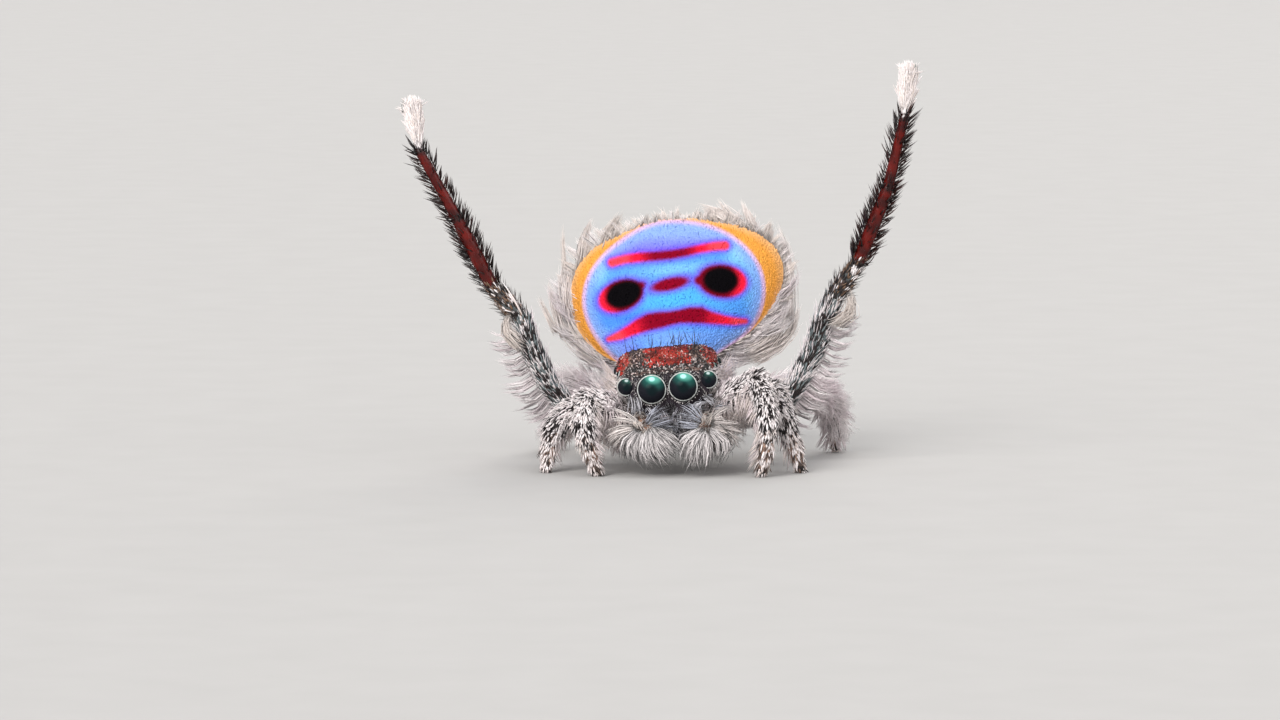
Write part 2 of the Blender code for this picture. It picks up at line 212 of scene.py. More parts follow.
# Each article's radii, spaced from its near end to its far end.
WALKING_RADII = ((0.13, 0.17, 0.16), (0.155, 0.16, 0.14), (0.14, 0.145, 0.115), (0.11, 0.1), (0.09, 0.08))
RAISED_RADII = ((0.14, 0.13, 0.14, 0.145, 0.12), (0.11, 0.12, 0.09), (0.098, 0.106, 0.09), (0.084, 0.07),
                (0.045, 0.075, 0.085))
# How far the brush of a raised foot reaches past its skin, and the sole of a standing one.
RAISED_TIP_HAIR = 0.25
SOLE_HAIR = 0.01
# The distance between the rings of an article, and how many its rounded ends have.
LINE_SPACING = 0.04
DOME_RINGS = 5


# A closed shape of the skin: its points and faces, and for each point how far along and around the
# shape it lies and which way the coat runs there.
Piece = namedtuple("Piece", "name points faces along around lie")


def circle(sides):
    """The angles of points spaced round a circle."""
    return 2 * np.pi * np.arange(sides) / sides


def quads(rings, sides, closed=False):
    """The quads between rings of points, and from the last ring to the first where they close."""
    faces = []
    for i in range(rings - 1 + closed):
        a, b = i * sides, (i + 1) % rings * sides
        for k in range(sides):
            after = (k + 1) % sides
            faces.append((a + k, a + after, b + after, b + k))
    return faces


def ringed(name, points, shares, sides, lie):
    """A piece of rings of points and two end points. Each ring has its share of the way along."""
    rings = len(shares)
    faces = quads(rings, sides)
    first, last = rings * sides, rings * sides + 1
    for k in range(sides):
        after = (k + 1) % sides
        faces.append((first, after, k))
        faces.append((last, (rings - 1) * sides + k, (rings - 1) * sides + after))
    along = np.append(np.repeat(shares, sides), (0.0, 1.0))
    around = np.append(np.tile(circle(sides) / (2 * np.pi), rings), (0.0, 0.0))
    return Piece(name, points, faces, along, around, np.broadcast_to(lie, points.shape))


def smooth_line(places):
    """A smooth line through places, and each of its points' share of the way along."""
    places = np.asarray(places, float)
    ends = np.vstack((2 * places[0] - places[1], places, 2 * places[-1] - places[-2]))
    line = [places[:1]]
    for i in range(1, len(ends) - 2):
        steps = max(int(np.linalg.norm(ends[i + 1] - ends[i]) / LINE_SPACING), 2)
        t = (np.arange(1, steps + 1) / steps)[:, None]
        a, b, c, d = ends[i - 1:i + 3]
        line.append(0.5 * (2 * b + (c - a) * t + (2 * a - 5 * b + 4 * c - d) * t ** 2
                           + (3 * b - a - 3 * c + d) * t ** 3))
    line = np.vstack(line)
    length = np.append(0.0, np.cumsum(np.linalg.norm(np.diff(line, axis=0), axis=1)))
    return line, length / length[-1]


def square_to(axis, reference=(0.0, 1.0, 0.0)):
    """Two directions square to each axis."""
    side = unit(np.cross(axis, reference))
    return side, np.cross(side, axis)


def tube(name, places, radii, sides=18):
    """A limb's article: a bar along places with domed ends."""
    line, share = smooth_line(places)
    radius = np.interp(share, np.linspace(0.0, 1.0, len(radii)), radii)
    axis = unit(np.gradient(line, axis=0))
    turns = np.pi / 2 * np.arange(1, DOME_RINGS + 1) / (DOME_RINGS + 1)
    near = line[0] - np.cos(turns)[:, None] * radius[0] * axis[0]
    far = line[-1] + np.cos(turns[::-1])[:, None] * radius[-1] * axis[-1]
    centres = np.vstack((near, line, far))
    sizes = np.concatenate((radius[0] * np.sin(turns), radius, radius[-1] * np.sin(turns[::-1])))
    axes = np.pad(axis, ((DOME_RINGS, DOME_RINGS), (0, 0)), "edge")
    side, up = square_to(axes)
    angles = circle(sides)
    rim = np.cos(angles)[None, :, None] * side[:, None] + np.sin(angles)[None, :, None] * up[:, None]
    points = (centres[:, None] + sizes[:, None, None] * rim).reshape(-1, 3)
    tips = (line[0] - radius[0] * axis[0], line[-1] + radius[-1] * axis[-1])
    lie = np.vstack((np.repeat(axes, sides, axis=0), axis[:1], axis[-1:]))
    return ringed(name, np.vstack((points, tips)), np.pad(share, DOME_RINGS, "edge"), sides, lie)


def egg(name, centre, half, turn, lie, rings, sides):
    """An ellipsoid, with the coat running along the direction lie."""
    turns = np.pi * np.arange(1, rings + 1) / (rings + 1)
    angles = circle(sides)
    shape = np.stack((
        np.sin(turns)[:, None] * np.cos(angles),
        np.sin(turns)[:, None] * np.sin(angles),
        np.repeat(-np.cos(turns)[:, None], sides, axis=1),
    ), axis=-1).reshape(-1, 3)
    shape = np.vstack((shape, ((0.0, 0.0, -1.0), (0.0, 0.0, 1.0))))
    return ringed(name, (shape * half) @ np.asarray(turn).T + centre, turns / np.pi, sides, lie)


def body_width(y):
    """Half the width of head and thorax: square in front, widest past the middle, round behind."""
    behind = np.sqrt(np.maximum(1.0 - ramp(y, 1.2, 2.3) ** 2, 0.0))
    return (0.6 + 0.14 * ramp(y, -0.08, 0.9)) * behind


def body_top(y):
    return 0.27 + 0.245 * ramp(y, -0.08, 0.6) - 0.74 * ramp(y, 0.85, 2.25)


def body_bottom(y):
    return -0.34 - 0.24 * ramp(y, -0.08, 0.6) + 0.22 * ramp(y, 1.5, 2.2)


def carapace(name, rings=44, sides=64):
    """Head and thorax, inside the solid by the coat's depth."""
    front, length = -0.08 + COAT_DEPTH, 2.1 - 2 * COAT_DEPTH
    shares = 0.5 - 0.5 * np.cos(np.pi * (np.arange(rings) + 0.5) / rings)
    y = front + length * shares
    shrink = 0.72 + 0.28 * ramp(np.minimum(shares, 1.0 - shares), 0.0, 0.035)
    half_width = (body_width(y) - COAT_DEPTH) * shrink
    top, bottom = body_top(y) - COAT_DEPTH, body_bottom(y) + COAT_DEPTH
    middle, half_height = (top + bottom) / 2, (top - bottom) / 2 * shrink
    c, s = np.cos(circle(sides)), np.sin(circle(sides))
    # The crown is flat with square shoulders, and the thorax behind it is round.
    power = np.where(s > 0.0, 0.42 + 0.28 * ramp(y, 0.9, 1.6)[:, None], 0.7)
    x = half_width[:, None] * np.sign(c) * np.abs(c) ** power
    z = middle[:, None] + half_height[:, None] * np.sign(s) * np.abs(s) ** power
    # A short groove marks the middle of the thorax.
    z -= 0.03 * bump(y[:, None], 1.25, 0.12) * bump(x, 0.0, 0.3) * (s > 0.4)
    points = np.stack((x, np.repeat(y[:, None], sides, axis=1), z), axis=-1).reshape(-1, 3)
    ends = ((0.0, front - 0.02, middle[0]), (0.0, front + length + 0.02, middle[-1]))
    local = np.vstack((points, ends))
    # On the crown the coat runs backwards, on the face it runs down.
    facing = 1.0 - ramp(local[:, 1], -0.05, 0.12)
    lie = np.column_stack((np.zeros(len(local)), 1.0 - facing, -facing))
    return ringed(name, in_head(local), shares, sides, lie @ HEAD[:3, :3].T)


# The fan: a disc of scales with an orange border. Its places are given right of and above its
# centre, level with the picture.

FAN_CENTRE = np.array((0.085, 2.02, 2.345))
FAN_RIGHT = np.array((1.0, 0.0, 0.0))
FAN_UP = np.array((0.0, 0.0, 1.0))
FAN_FORWARD = np.array((0.0, -1.0, 0.0))
FAN_SWEEP = 0.1
FAN_HALF_THICK = 0.07
FAN_DOME = 0.05
# How the plate's rim is rounded: the powers of its reach and of its thickness.
RIM_ROUND = 0.6
RIM_DROP = 0.4
# How far the blue disc reaches, and how wide the orange border is, at every 15 degrees from the right.
DISC_REACH = (1.29, 1.29, 1.23, 1.17, 1.1, 1.06, 1.04, 1.04, 1.04, 1.06, 1.12, 1.2,
              1.26, 1.27, 1.25, 1.23, 1.19, 1.13, 1.1, 1.09, 1.06, 1.08, 1.17, 1.25)
BORDER_WIDTH = (0.23, 0.34, 0.3, 0.17, 0.08, 0.03, 0.01, 0.01, 0.03, 0.08, 0.16, 0.21,
                0.2, 0.19, 0.17, 0.08, 0.01, 0.0, 0.0, 0.0, 0.0, 0.01, 0.03, 0.1)


def round_value(values, angle):
    """A smooth closed curve through values at equal angles."""
    waves = np.fft.rfft(values) / len(values)
    total = np.full(np.shape(angle), waves[0].real)
    for k in range(1, 9):
        total = total + 2 * (waves[k] * np.exp(1j * k * np.asarray(angle))).real
    return total


def disc_edge(angle):
    return round_value(DISC_REACH, angle)


def border_width(angle):
    return np.maximum(round_value(BORDER_WIDTH, angle), 0.012)


def fan_edge(angle):
    return disc_edge(angle) + border_width(angle)


def fan_front(u, v):
    """How far forward the fan's front face lies at a place."""
    reach = np.minimum(np.hypot(u, v) / fan_edge(np.arctan2(v, u)), 1.0)
    turned = np.sqrt(1.0 - reach ** (2.0 / RIM_ROUND))
    return FAN_DOME * (1.0 - reach ** 2) + FAN_HALF_THICK * turned ** RIM_DROP


def fan_coordinates(points):
    """Right, up and forward of the fan's centre, for points of the drawing."""
    away = np.asarray(points, float) - FAN_CENTRE
    u = away @ FAN_RIGHT
    return u, away @ FAN_UP, away @ FAN_FORWARD + FAN_SWEEP * u ** 2


def fan_point(u, v, w):
    w = w - FAN_SWEEP * u ** 2
    return FAN_CENTRE + u[..., None] * FAN_RIGHT + v[..., None] * FAN_UP + w[..., None] * FAN_FORWARD


def fan_plate(name, rings=46, sides=120):
    """The disc as a thin plate with a rounded edge, in rings from the front's middle to the back's."""
    angles = circle(sides)
    edge = fan_edge(angles)
    turns = np.pi * (np.arange(rings) + 0.5) / rings
    reach = np.sin(turns) ** RIM_ROUND
    thick = np.sign(np.cos(turns)) * np.abs(np.cos(turns)) ** RIM_DROP * FAN_HALF_THICK
    dome = FAN_DOME * (1.0 - reach ** 2)
    u = reach[:, None] * edge * np.cos(angles)
    v = reach[:, None] * edge * np.sin(angles)
    w = np.repeat((thick + dome)[:, None], sides, axis=1)
    middle = fan_point(np.zeros(2), np.zeros(2), FAN_DOME + np.array((FAN_HALF_THICK, -FAN_HALF_THICK)))
    points = np.vstack((fan_point(u, v, w).reshape(-1, 3), middle))
    return ringed(name, points, turns / np.pi, sides, FAN_UP)


def near_line(x, y, places):
    """How deep inside a band each point lies, and how far along the band, from 0 to 1. Each place
    is its right, its up and the band's half width there."""
    places = np.asarray(places, float)
    best = np.full(x.shape, -9.0)
    share = np.zeros(x.shape)
    runs = len(places) - 1
    for i in range(runs):
        step = places[i + 1] - places[i]
        t = np.clip(((x - places[i, 0]) * step[0] + (y - places[i, 1]) * step[1])
                    / (step[:2] @ step[:2]), 0.0, 1.0)
        gap = np.hypot(x - places[i, 0] - t * step[0], y - places[i, 1] - t * step[1])
        inside = places[i, 2] + step[2] * t - gap
        closer = inside > best
        best = np.where(closer, inside, best)
        share = np.where(closer, (i + t) / runs, share)
    return best, share


UPPER_BAR = ((-0.864, 0.45, 0.06), (-0.68, 0.501, 0.06), (-0.467, 0.531, 0.066), (-0.254, 0.546, 0.066),
             (-0.042, 0.568, 0.065), (0.171, 0.603, 0.061), (0.383, 0.652, 0.055), (0.596, 0.686, 0.062),
             (0.738, 0.692, 0.062))
LOWER_BAR = ((-0.91, -0.645, 0.035), (-0.751, -0.588, 0.062), (-0.609, -0.516, 0.076),
             (-0.467, -0.443, 0.102), (-0.325, -0.385, 0.118), (-0.183, -0.359, 0.115),
             (-0.042, -0.335, 0.098), (0.1, -0.309, 0.095), (0.242, -0.292, 0.112), (0.384, -0.293, 0.116),
             (0.526, -0.33, 0.088), (0.739, -0.368, 0.06), (0.882, -0.387, 0.053), (1.03, -0.389, 0.035))
# A spot is the right and up of its centre, its two half sizes and its tilt in degrees.
CENTRE_SPOT = (-0.042, 0.15, 0.275, 0.088, 13.0)
# Each eye spot: its outline, its point, its pupil, and the side its red crescent is on.
EYE_SPOTS = (
    ((-0.735, -0.02, 0.335, 0.22, 24.0), (-0.52, 0.1, 0.14, 0.075, 24.0),
     (-0.7, 0.0, 0.27, 0.185, 24.0), -1.0),
    ((0.7, 0.19, 0.35, 0.235, -8.0), (0.44, 0.205, 0.14, 0.085, 0.0),
     (0.68, 0.2, 0.255, 0.19, -6.0), 1.0),
)
# How far to each side of its edge a mark's colour fades.
MARK_FADE = 0.022


def spot_depth(x, y, spot):
    """How deep inside an oval each point lies, in millimetres, and its place along its long axis."""
    right, up, long, short, tilt = spot
    c, s = math.cos(math.radians(tilt)), math.sin(math.radians(tilt))
    dx, dy = x - right, y - up
    a, b = (dx * c + dy * s) / long, (dy * c - dx * s) / short
    return (1.0 - np.hypot(a, b)) * short, a


def marked(depth):
    return ramp(depth, -MARK_FADE, MARK_FADE)


def fan_colour(x, y):
    """The colour of the fan's front at a place right of and above its centre."""
    angle = np.arctan2(y, x)
    inward = disc_edge(angle) - np.hypot(x, y)
    wave = 0.5 + 0.5 * np.sin(6.1 * x + 1.3) * np.sin(5.3 * y - 0.6)
    colour = SKY
    for tone, share in (
        (CYAN, 0.9 * bump(x, 0.05, 0.75) * bump(y, -0.06, 0.25)),
        (PALE_CYAN, 0.55 * bump(x, 0.05, 0.65) * bump(y - 0.1 * x, 0.36, 0.09)),
        (DEEP_SKY, 0.8 * bump(x, -0.6, 0.35) * bump(y, -0.34, 0.12)),
        (PERIWINKLE, 0.9 * ramp(y - 0.14 * x, 0.5, 0.62)),
        (PALE_BLUE, 0.9 * ramp(y, 0.66, 0.9)),
        (PALE_CYAN, 0.9 * bump(x, 0.93, 0.16) * bump(y, 0.58, 0.2)),
        (PALE_CYAN, 0.9 * bump(x, -1.06, 0.13) * bump(y, 0.3, 0.18)),
        (PALE_CYAN, 0.5 * bump(x, 1.1, 0.1) * ramp(y, -0.4, 0.2)),
        (PALE_BLUE, 0.6 * ramp(-y, 0.42, 0.6) * (0.5 + 0.5 * wave)),
        (PERIWINKLE, 0.5 * ramp(-y, 0.6, 0.8) * ramp(-x, 0.3, 0.6)),
        (PALE_BLUE, 0.85 * ramp(-inward, -0.24, -0.03)),
    ):
        colour = mix(colour, tone, share)

    upper, upper_share = near_line(x, y, UPPER_BAR)
    lower, lower_share = near_line(x, y, LOWER_BAR)
    middle = spot_depth(x, y, CENTRE_SPOT)[0]
    spots = []
    for outline, point, pupil, side in EYE_SPOTS:
        depth, along = spot_depth(x, y, outline)
        depth = np.maximum(depth, spot_depth(x, y, point)[0])
        spots.append((depth, ramp(side * along, 0.2, 0.8), spot_depth(x, y, pupil)[0]))
    nearest = np.max([upper, lower, middle] + [spot[0] for spot in spots], axis=0)
    colour = mix(colour, VIOLET, 0.7 * ramp(nearest, -0.09, 0.0))

    # Both bars are dark in the middle and bright at the ends.
    for depth, share, first, last in ((upper, upper_share, 0.32, 0.66), (lower, lower_share, 0.26, 0.74)):
        ends = np.maximum(1.0 - ramp(share, first - 0.23, first + 0.1), ramp(share, last - 0.1, last + 0.23))
        inner = mix(mix(CRIMSON, SCARLET, ramp(ends, 0.0, 0.8)), CORAL, ramp(ends, 0.75, 1.0) * 0.7)
        colour = mix(colour, inner, marked(depth))
    colour = mix(colour, CRIMSON, marked(middle))
    for depth, crescent, pupil in spots:
        colour = mix(colour, mix(CRIMSON * 0.8, SCARLET, crescent), marked(depth))
        colour = mix(colour, INK, ramp(pupil, -0.035, 0.03))

    colour = mix(colour, RIM_PINK, 0.85 * bump(inward, 0.0, 0.032))
    border = mix(ORANGE, PEACH, 0.8 * ramp(-inward / border_width(angle), 0.5, 1.1))
    return mix(colour, border, ramp(-inward, 0.005, 0.04))


# Skin

ABDOMEN_CENTRE = np.array((0.1, 2.76, 2.08))
ABDOMEN_HALF = (0.7, 0.6, 1.14)
ABDOMEN_TILT = (-4.0, -6.0)
# The waist runs from the head's frame to a place in the drawing.
WAIST_FRONT = (0.0, 1.7, -0.25)
WAIST_BACK = (0.12, 2.62, 1.35)
WAIST_RADIUS = 0.14
# The spinnerets stand at the abdomen's top.
SPINNERETS = (0.05, 0.12, 1.06)
SPINNERET_PLACES = ((-0.06, 0.0, 0.0), (0.06, 0.0, 0.0), (0.0, 0.08, 0.0))
COXA_HALF = (0.26, 0.18, 0.18)
CHELICERA = (0.19, 0.0, -0.5)
CHELICERA_HALF = (0.16, 0.16, 0.28)
PALP_PATHS = {
    "left": ((0.36, 0.06, 0.72), (0.5, -0.14, 0.76), (0.52, -0.3, 0.71), (0.48, -0.38, 0.56),
             (0.42, -0.38, 0.36)),
    "right": ((-0.36, 0.06, 0.7), (-0.36, -0.14, 0.74), (-0.33, -0.3, 0.68), (-0.24, -0.38, 0.54),
              (-0.14, -0.38, 0.35)),
}
PALP_RADII = (0.1, 0.1, 0.11, 0.13, 0.1)


def femur_places(leg):
    hip, knee = LEG_JOINTS[leg][:2]
    if leg in FEMUR_BOWS:
        return [hip, *FEMUR_BOWS[leg], knee]
    return [hip, (np.array(hip) + knee) / 2 + (0.0, 0.0, 0.07), knee]


def skin_pieces():
    made = [carapace("carapace"), fan_plate("fan")]
    backwards = HEAD[:3, :3] @ np.array((0.0, 1.0, 0.0))
    for leg, joints in LEG_JOINTS.items():
        raised = leg.startswith("leg_3")
        radii = RAISED_RADII if raised else WALKING_RADII
        joints = [np.array(place) for place in joints]
        hip = joints[0] + 0.12 * unit(np.array((joints[0][0], 0.0, 0.0)))
        made.append(egg(f"{leg}_coxa", hip, COXA_HALF, np.eye(3), backwards, 14, 20))
        spare = RAISED_TIP_HAIR if raised else radii[4][-1] + SOLE_HAIR
        joints[5] = joints[5] + spare * unit(joints[4] - joints[5])
        made.append(tube(f"{leg}_femur", femur_places(leg), radii[0]))
        for i in range(1, 5):
            made.append(tube(f"{leg}_{ARTICLES[i]}", (joints[i], joints[i + 1]), radii[i]))
    aside, back = (math.radians(tilt) for tilt in ABDOMEN_TILT)
    turn = np.array(Matrix.Rotation(aside, 3, "Y") @ Matrix.Rotation(back, 3, "X"))
    made.append(egg("abdomen", ABDOMEN_CENTRE, ABDOMEN_HALF, turn, (0.0, 0.2, 1.0), 40, 56))
    made.append(tube("pedicel", (in_head(WAIST_FRONT), WAIST_BACK), (WAIST_RADIUS, WAIST_RADIUS)))
    for place in SPINNERET_PLACES:
        place = ABDOMEN_CENTRE + SPINNERETS + place
        made.append(tube("spinnerets", (place - (0.0, 0.0, 0.1), place + (0.0, 0.03, 0.12)), (0.05, 0.035)))
    for side, sign in SIDES:
        place = in_head(np.array(CHELICERA) * (sign, 1.0, 1.0))
        made.append(egg(f"chelicera_{side}", place, CHELICERA_HALF, HEAD[:3, :3], -HEAD[:3, 2], 20, 28))
        made.append(tube(f"palp_{side}", PALP_PATHS[side], PALP_RADII))
    return made


def placed(name, data):
    """A new object that holds data, in the scene."""
    made = bpy.data.objects.new(name, data)
    bpy.context.scene.collection.objects.link(made)
    return made


def mesh_of(name, points, faces):
    mesh = bpy.data.meshes.new(name)
    mesh.from_pydata([tuple(point) for point in points], [], faces)
    mesh.update()
    return mesh


def joined(shapes):
    """One array of points and one list of faces, from the points and faces of several shapes."""
    faces, offset = [], 0
    for points, own in shapes:
        faces += [tuple(offset + k for k in face) for face in own]
        offset += len(points)
    return np.vstack([points for points, _ in shapes]), faces


def set_points(mesh, points):
    mesh.vertices.foreach_set("co", to_metres(points).astype(np.float32).ravel())


def set_tint(mesh, colours):
    tint = mesh.attributes.new("tint", "FLOAT_COLOR", "POINT")
    tint.data.foreach_set("color", colours.astype(np.float32).ravel())


def turned_out(mesh):
    """Turns the faces of every closed part of the mesh outwards."""
    bm = bmesh.new()
    bm.from_mesh(mesh)
    bmesh.ops.recalc_face_normals(bm, faces=bm.faces)
    bm.to_mesh(mesh)
    bm.free()


def evaluated_mesh(made):
    graph = bpy.context.evaluated_depsgraph_get()
    mesh = bpy.data.meshes.new_from_object(made.evaluated_get(graph))
    bpy.data.objects.remove(made, do_unlink=True)
    return mesh


def tree_of(points):
    tree = kdtree.KDTree(len(points))
    for i, point in enumerate(points):
        tree.insert(point, i)
    tree.balance()
    return tree


class Skin:
    """The one closed skin, with what its nearest piece says at each of its faces."""

    def __init__(self, pieces):
        self.names = [piece.name for piece in pieces]
        points, faces = joined([(piece.points, piece.faces) for piece in pieces])
        raw = placed("raw_skin", mesh_of("raw_skin", points, faces))
        turned_out(raw.data)
        merge = raw.modifiers.new("one_skin", "REMESH")
        merge.mode = "VOXEL"
        merge.voxel_size = VOXEL
        soften = raw.modifiers.new("soften", "SMOOTH")
        soften.factor = 0.5
        soften.iterations = 3
        self.mesh = evaluated_mesh(raw)
        flat = np.empty(len(self.mesh.vertices) * 3)
        self.mesh.vertices.foreach_get("co", flat)
        self.points = flat.reshape(-1, 3)
        # The soles are flat on the floor.
        self.points[:, 2] = np.maximum(self.points[:, 2], SOLE_HEIGHT)
        tree = tree_of(points)
        near = np.array([tree.find(point)[1] for point in self.points])
        self.part = np.repeat(np.arange(len(pieces)), [len(piece.points) for piece in pieces])[near]
        self.along = np.concatenate([piece.along for piece in pieces])[near]
        corners = np.array([list(face.vertices) for face in self.mesh.polygons])
        a, b, c, d = (self.points[corners[:, k]] for k in range(4))
        self.centres = self.points[corners].mean(axis=1)
        self.normals = unit(np.cross(c - a, d - b))
        first = corners[:, 0]
        self.owner = self.part[first]
        self.face_along = self.along[first]
        self.face_around = np.concatenate([piece.around for piece in pieces])[near[first]]
        self.face_lie = unit(np.vstack([piece.lie for piece in pieces]))[near[first]]
        self.tree = tree_of(self.centres)

    def where(self, owners, test):
        return np.array([bool(test(name)) for name in self.names])[owners]

    def of(self, *starts):
        """Which faces belong to the pieces whose names start so."""
        return self.where(self.owner, lambda name: name.startswith(starts))

    def named(self, *ends):
        return self.where(self.owner, lambda name: name.endswith(ends))

    def nearest(self, points):
        return np.array([self.tree.find(point)[1] for point in points])


def noise(points, scale, seed):
    """A cheap smooth noise from 0 to 1: a sum of waves in fixed directions."""
    waves = np.random.default_rng(seed)
    total = np.zeros(len(points))
    for _ in range(7):
        total += np.sin(points @ (waves.normal(size=3) / scale) + waves.uniform(0, 2 * np.pi))
    return np.clip(0.5 + total / 5.2, 0.0, 1.0)


def crown_red(local):
    """Where the crown's red scales are: a patch in the middle and a stripe at each side."""
    x, y = local[:, 0], local[:, 1]
    middle = (1.0 - ramp(np.abs(x - 0.03), 0.26, 0.36)) * ramp(y, 0.06, 0.2)
    sides = ramp(np.abs(x), 0.48, 0.54) * ramp(y, 0.2, 0.36)
    return np.maximum(middle, sides) * (1.0 - ramp(y, 1.1, 1.5))


def hide_colour(skin, points, owner, along):
    """The skin's own colour under the coat, with its roughness as the fourth value."""
    grain = noise(points, 0.06, 3)
    colour = mix(HIDE, DARK_HAIR, 0.5 * grain)
    rough = np.full(len(points), 0.65)

    def paint(mask, value, shine=None):
        colour[mask] = np.broadcast_to(value, colour.shape)[mask]
        if shine is not None:
            rough[mask] = shine

    def ends(starts, endings=("",)):
        return skin.where(owner, lambda name: name.startswith(starts) and name.endswith(endings))

    local = to_head(points)
    head = ends("carapace")
    crown = mix(mix(CROWN_DARK, CROWN_BROWN, 0.6 * noise(points, 0.09, 5)), CROWN_BRICK, crown_red(local))
    paint(head & (local[:, 2] > 0.2), crown)
    paint(head & (local[:, 1] < 0.1) & (local[:, 2] < 0.2), FACE_HIDE)
    paint(ends("chelicera"), FACE_HIDE)
    front_legs = ("leg_1", "leg_2")
    paint(ends(front_legs), mix(BLACK_HAIR, HIDE, grain))
    paint(ends(front_legs, ("femur", "coxa")), mix(GREY_HAIR * 0.6, HIDE, grain))
    paint(ends(front_legs, ("metatarsus", "_tarsus")), mix(TAN, DARK_HAIR, 0.5 * grain), 0.45)
    paint(ends("leg_4"), mix(ROSY_HAIR, GREY_HAIR, grain) * 0.6)
    feet = ends(("leg_1", "leg_2", "leg_4"), ("_tarsus",))
    paint(feet, mix(TAN, DARK_HAIR, ramp(along, 0.45, 0.95)), 0.4)
    joint = np.maximum(1.0 - ramp(along, 0.0, 0.06), ramp(along, 0.93, 1.0))
    shaft = mix(mix(RED_BROWN, DEEP_RED, grain), BLACK_HAIR, 0.7 * joint)
    paint(ends("leg_3", ("tibia", "metatarsus")), shaft, 0.22)
    paint(ends("leg_3", ("_tarsus",)), mix(WHITE_HAIR, GREY_HAIR, 0.3 * grain))
    paint(ends("leg_3", ("patella", "femur", "coxa")), mix(FEMUR_BROWN, TEAL_GREY * 0.5, grain))
    paint(ends("palp"), mix(PALP_BROWN, DARK_HAIR, grain))
    u, v, w = fan_coordinates(points)
    fan = ends("fan")
    paint(fan, mix(CREAM_HAIR, GREY_HAIR, 0.6 + 0.4 * grain))
    paint(fan & (w > 0.02), fan_colour(u, v), 0.9)
    paint(ends(("abdomen", "pedicel")), mix(BELLY_BROWN, GREY_HAIR, grain))
    return np.column_stack((colour, rough))


# Materials

LENS_DARK = (0.013, 0.014, 0.019, 1.0)


def new_material(name):
    made = bpy.data.materials.new(name)
    made.use_nodes = True
    return made, made.node_tree, made.node_tree.nodes["Principled BSDF"]


def add(tree, kind, **values):
    node = tree.nodes.new(kind)
    for key, value in values.items():
        if key in node.inputs:
            node.inputs[key].default_value = value
        else:
            setattr(node, key, value)
    return node


def value_range(tree, source, low, high, start=0.0, end=1.0, way="LINEAR"):
    """Takes a value from start..end to low..high."""
    node = add(tree, "ShaderNodeMapRange", interpolation_type=way)
    for key, value in (("From Min", start), ("From Max", end), ("To Min", low), ("To Max", high)):
        node.inputs[key].default_value = value
    tree.links.new(source, node.inputs["Value"])
    return node.outputs["Result"]


def grained(tree, size, **more):
    """A fine grain in the object's own space."""
    place = add(tree, "ShaderNodeTexCoord")
    grain = add(tree, "ShaderNodeTexNoise", Scale=size, **more)
    tree.links.new(place.outputs["Object"], grain.inputs["Vector"])
    return grain.outputs["Fac"]


def tinted_material(name, rough, freckle, relief, shine=0.5, sheen=0.0, rough_from_tint=False):
    """Takes its colour from the mesh, then varies it a little with a fine grain."""
    made, tree, shader = new_material(name)
    tint = add(tree, "ShaderNodeAttribute", attribute_name="tint")
    grain = grained(tree, freckle, Detail=3.0, Roughness=0.6)
    vary = add(tree, "ShaderNodeVectorMath", operation="SCALE")
    tree.links.new(tint.outputs["Color"], vary.inputs[0])
    tree.links.new(value_range(tree, grain, 0.85, 1.1, 0.3, 0.7), vary.inputs["Scale"])
    tree.links.new(vary.outputs["Vector"], shader.inputs["Base Color"])
    uneven = value_range(tree, grain, rough - 0.08, rough + 0.08)
    tree.links.new(tint.outputs["Alpha"] if rough_from_tint else uneven, shader.inputs["Roughness"])
    bumps = add(tree, "ShaderNodeBump", Strength=relief, Distance=0.00001)
    tree.links.new(grain, bumps.inputs["Height"])
    tree.links.new(bumps.outputs["Normal"], shader.inputs["Normal"])
    shader.inputs["Specular IOR Level"].default_value = shine
    shader.inputs["Sheen Weight"].default_value = sheen
    return made


def plain_material(name, colour, rough):
    """One colour with a fine grain."""
    made, tree, shader = new_material(name)
    grain = grained(tree, 30000.0, Detail=3.0)
    shades = add(tree, "ShaderNodeValToRGB")
    for stop, position, share in zip(shades.color_ramp.elements, (0.3, 0.7), (0.5, 1.0)):
        stop.position = position
        stop.color = (*(share * c for c in colour), 1.0)
    tree.links.new(grain, shades.inputs["Fac"])
    tree.links.new(shades.outputs["Color"], shader.inputs["Base Color"])
    tree.links.new(value_range(tree, grain, rough - 0.1, rough + 0.1), shader.inputs["Roughness"])
    return made


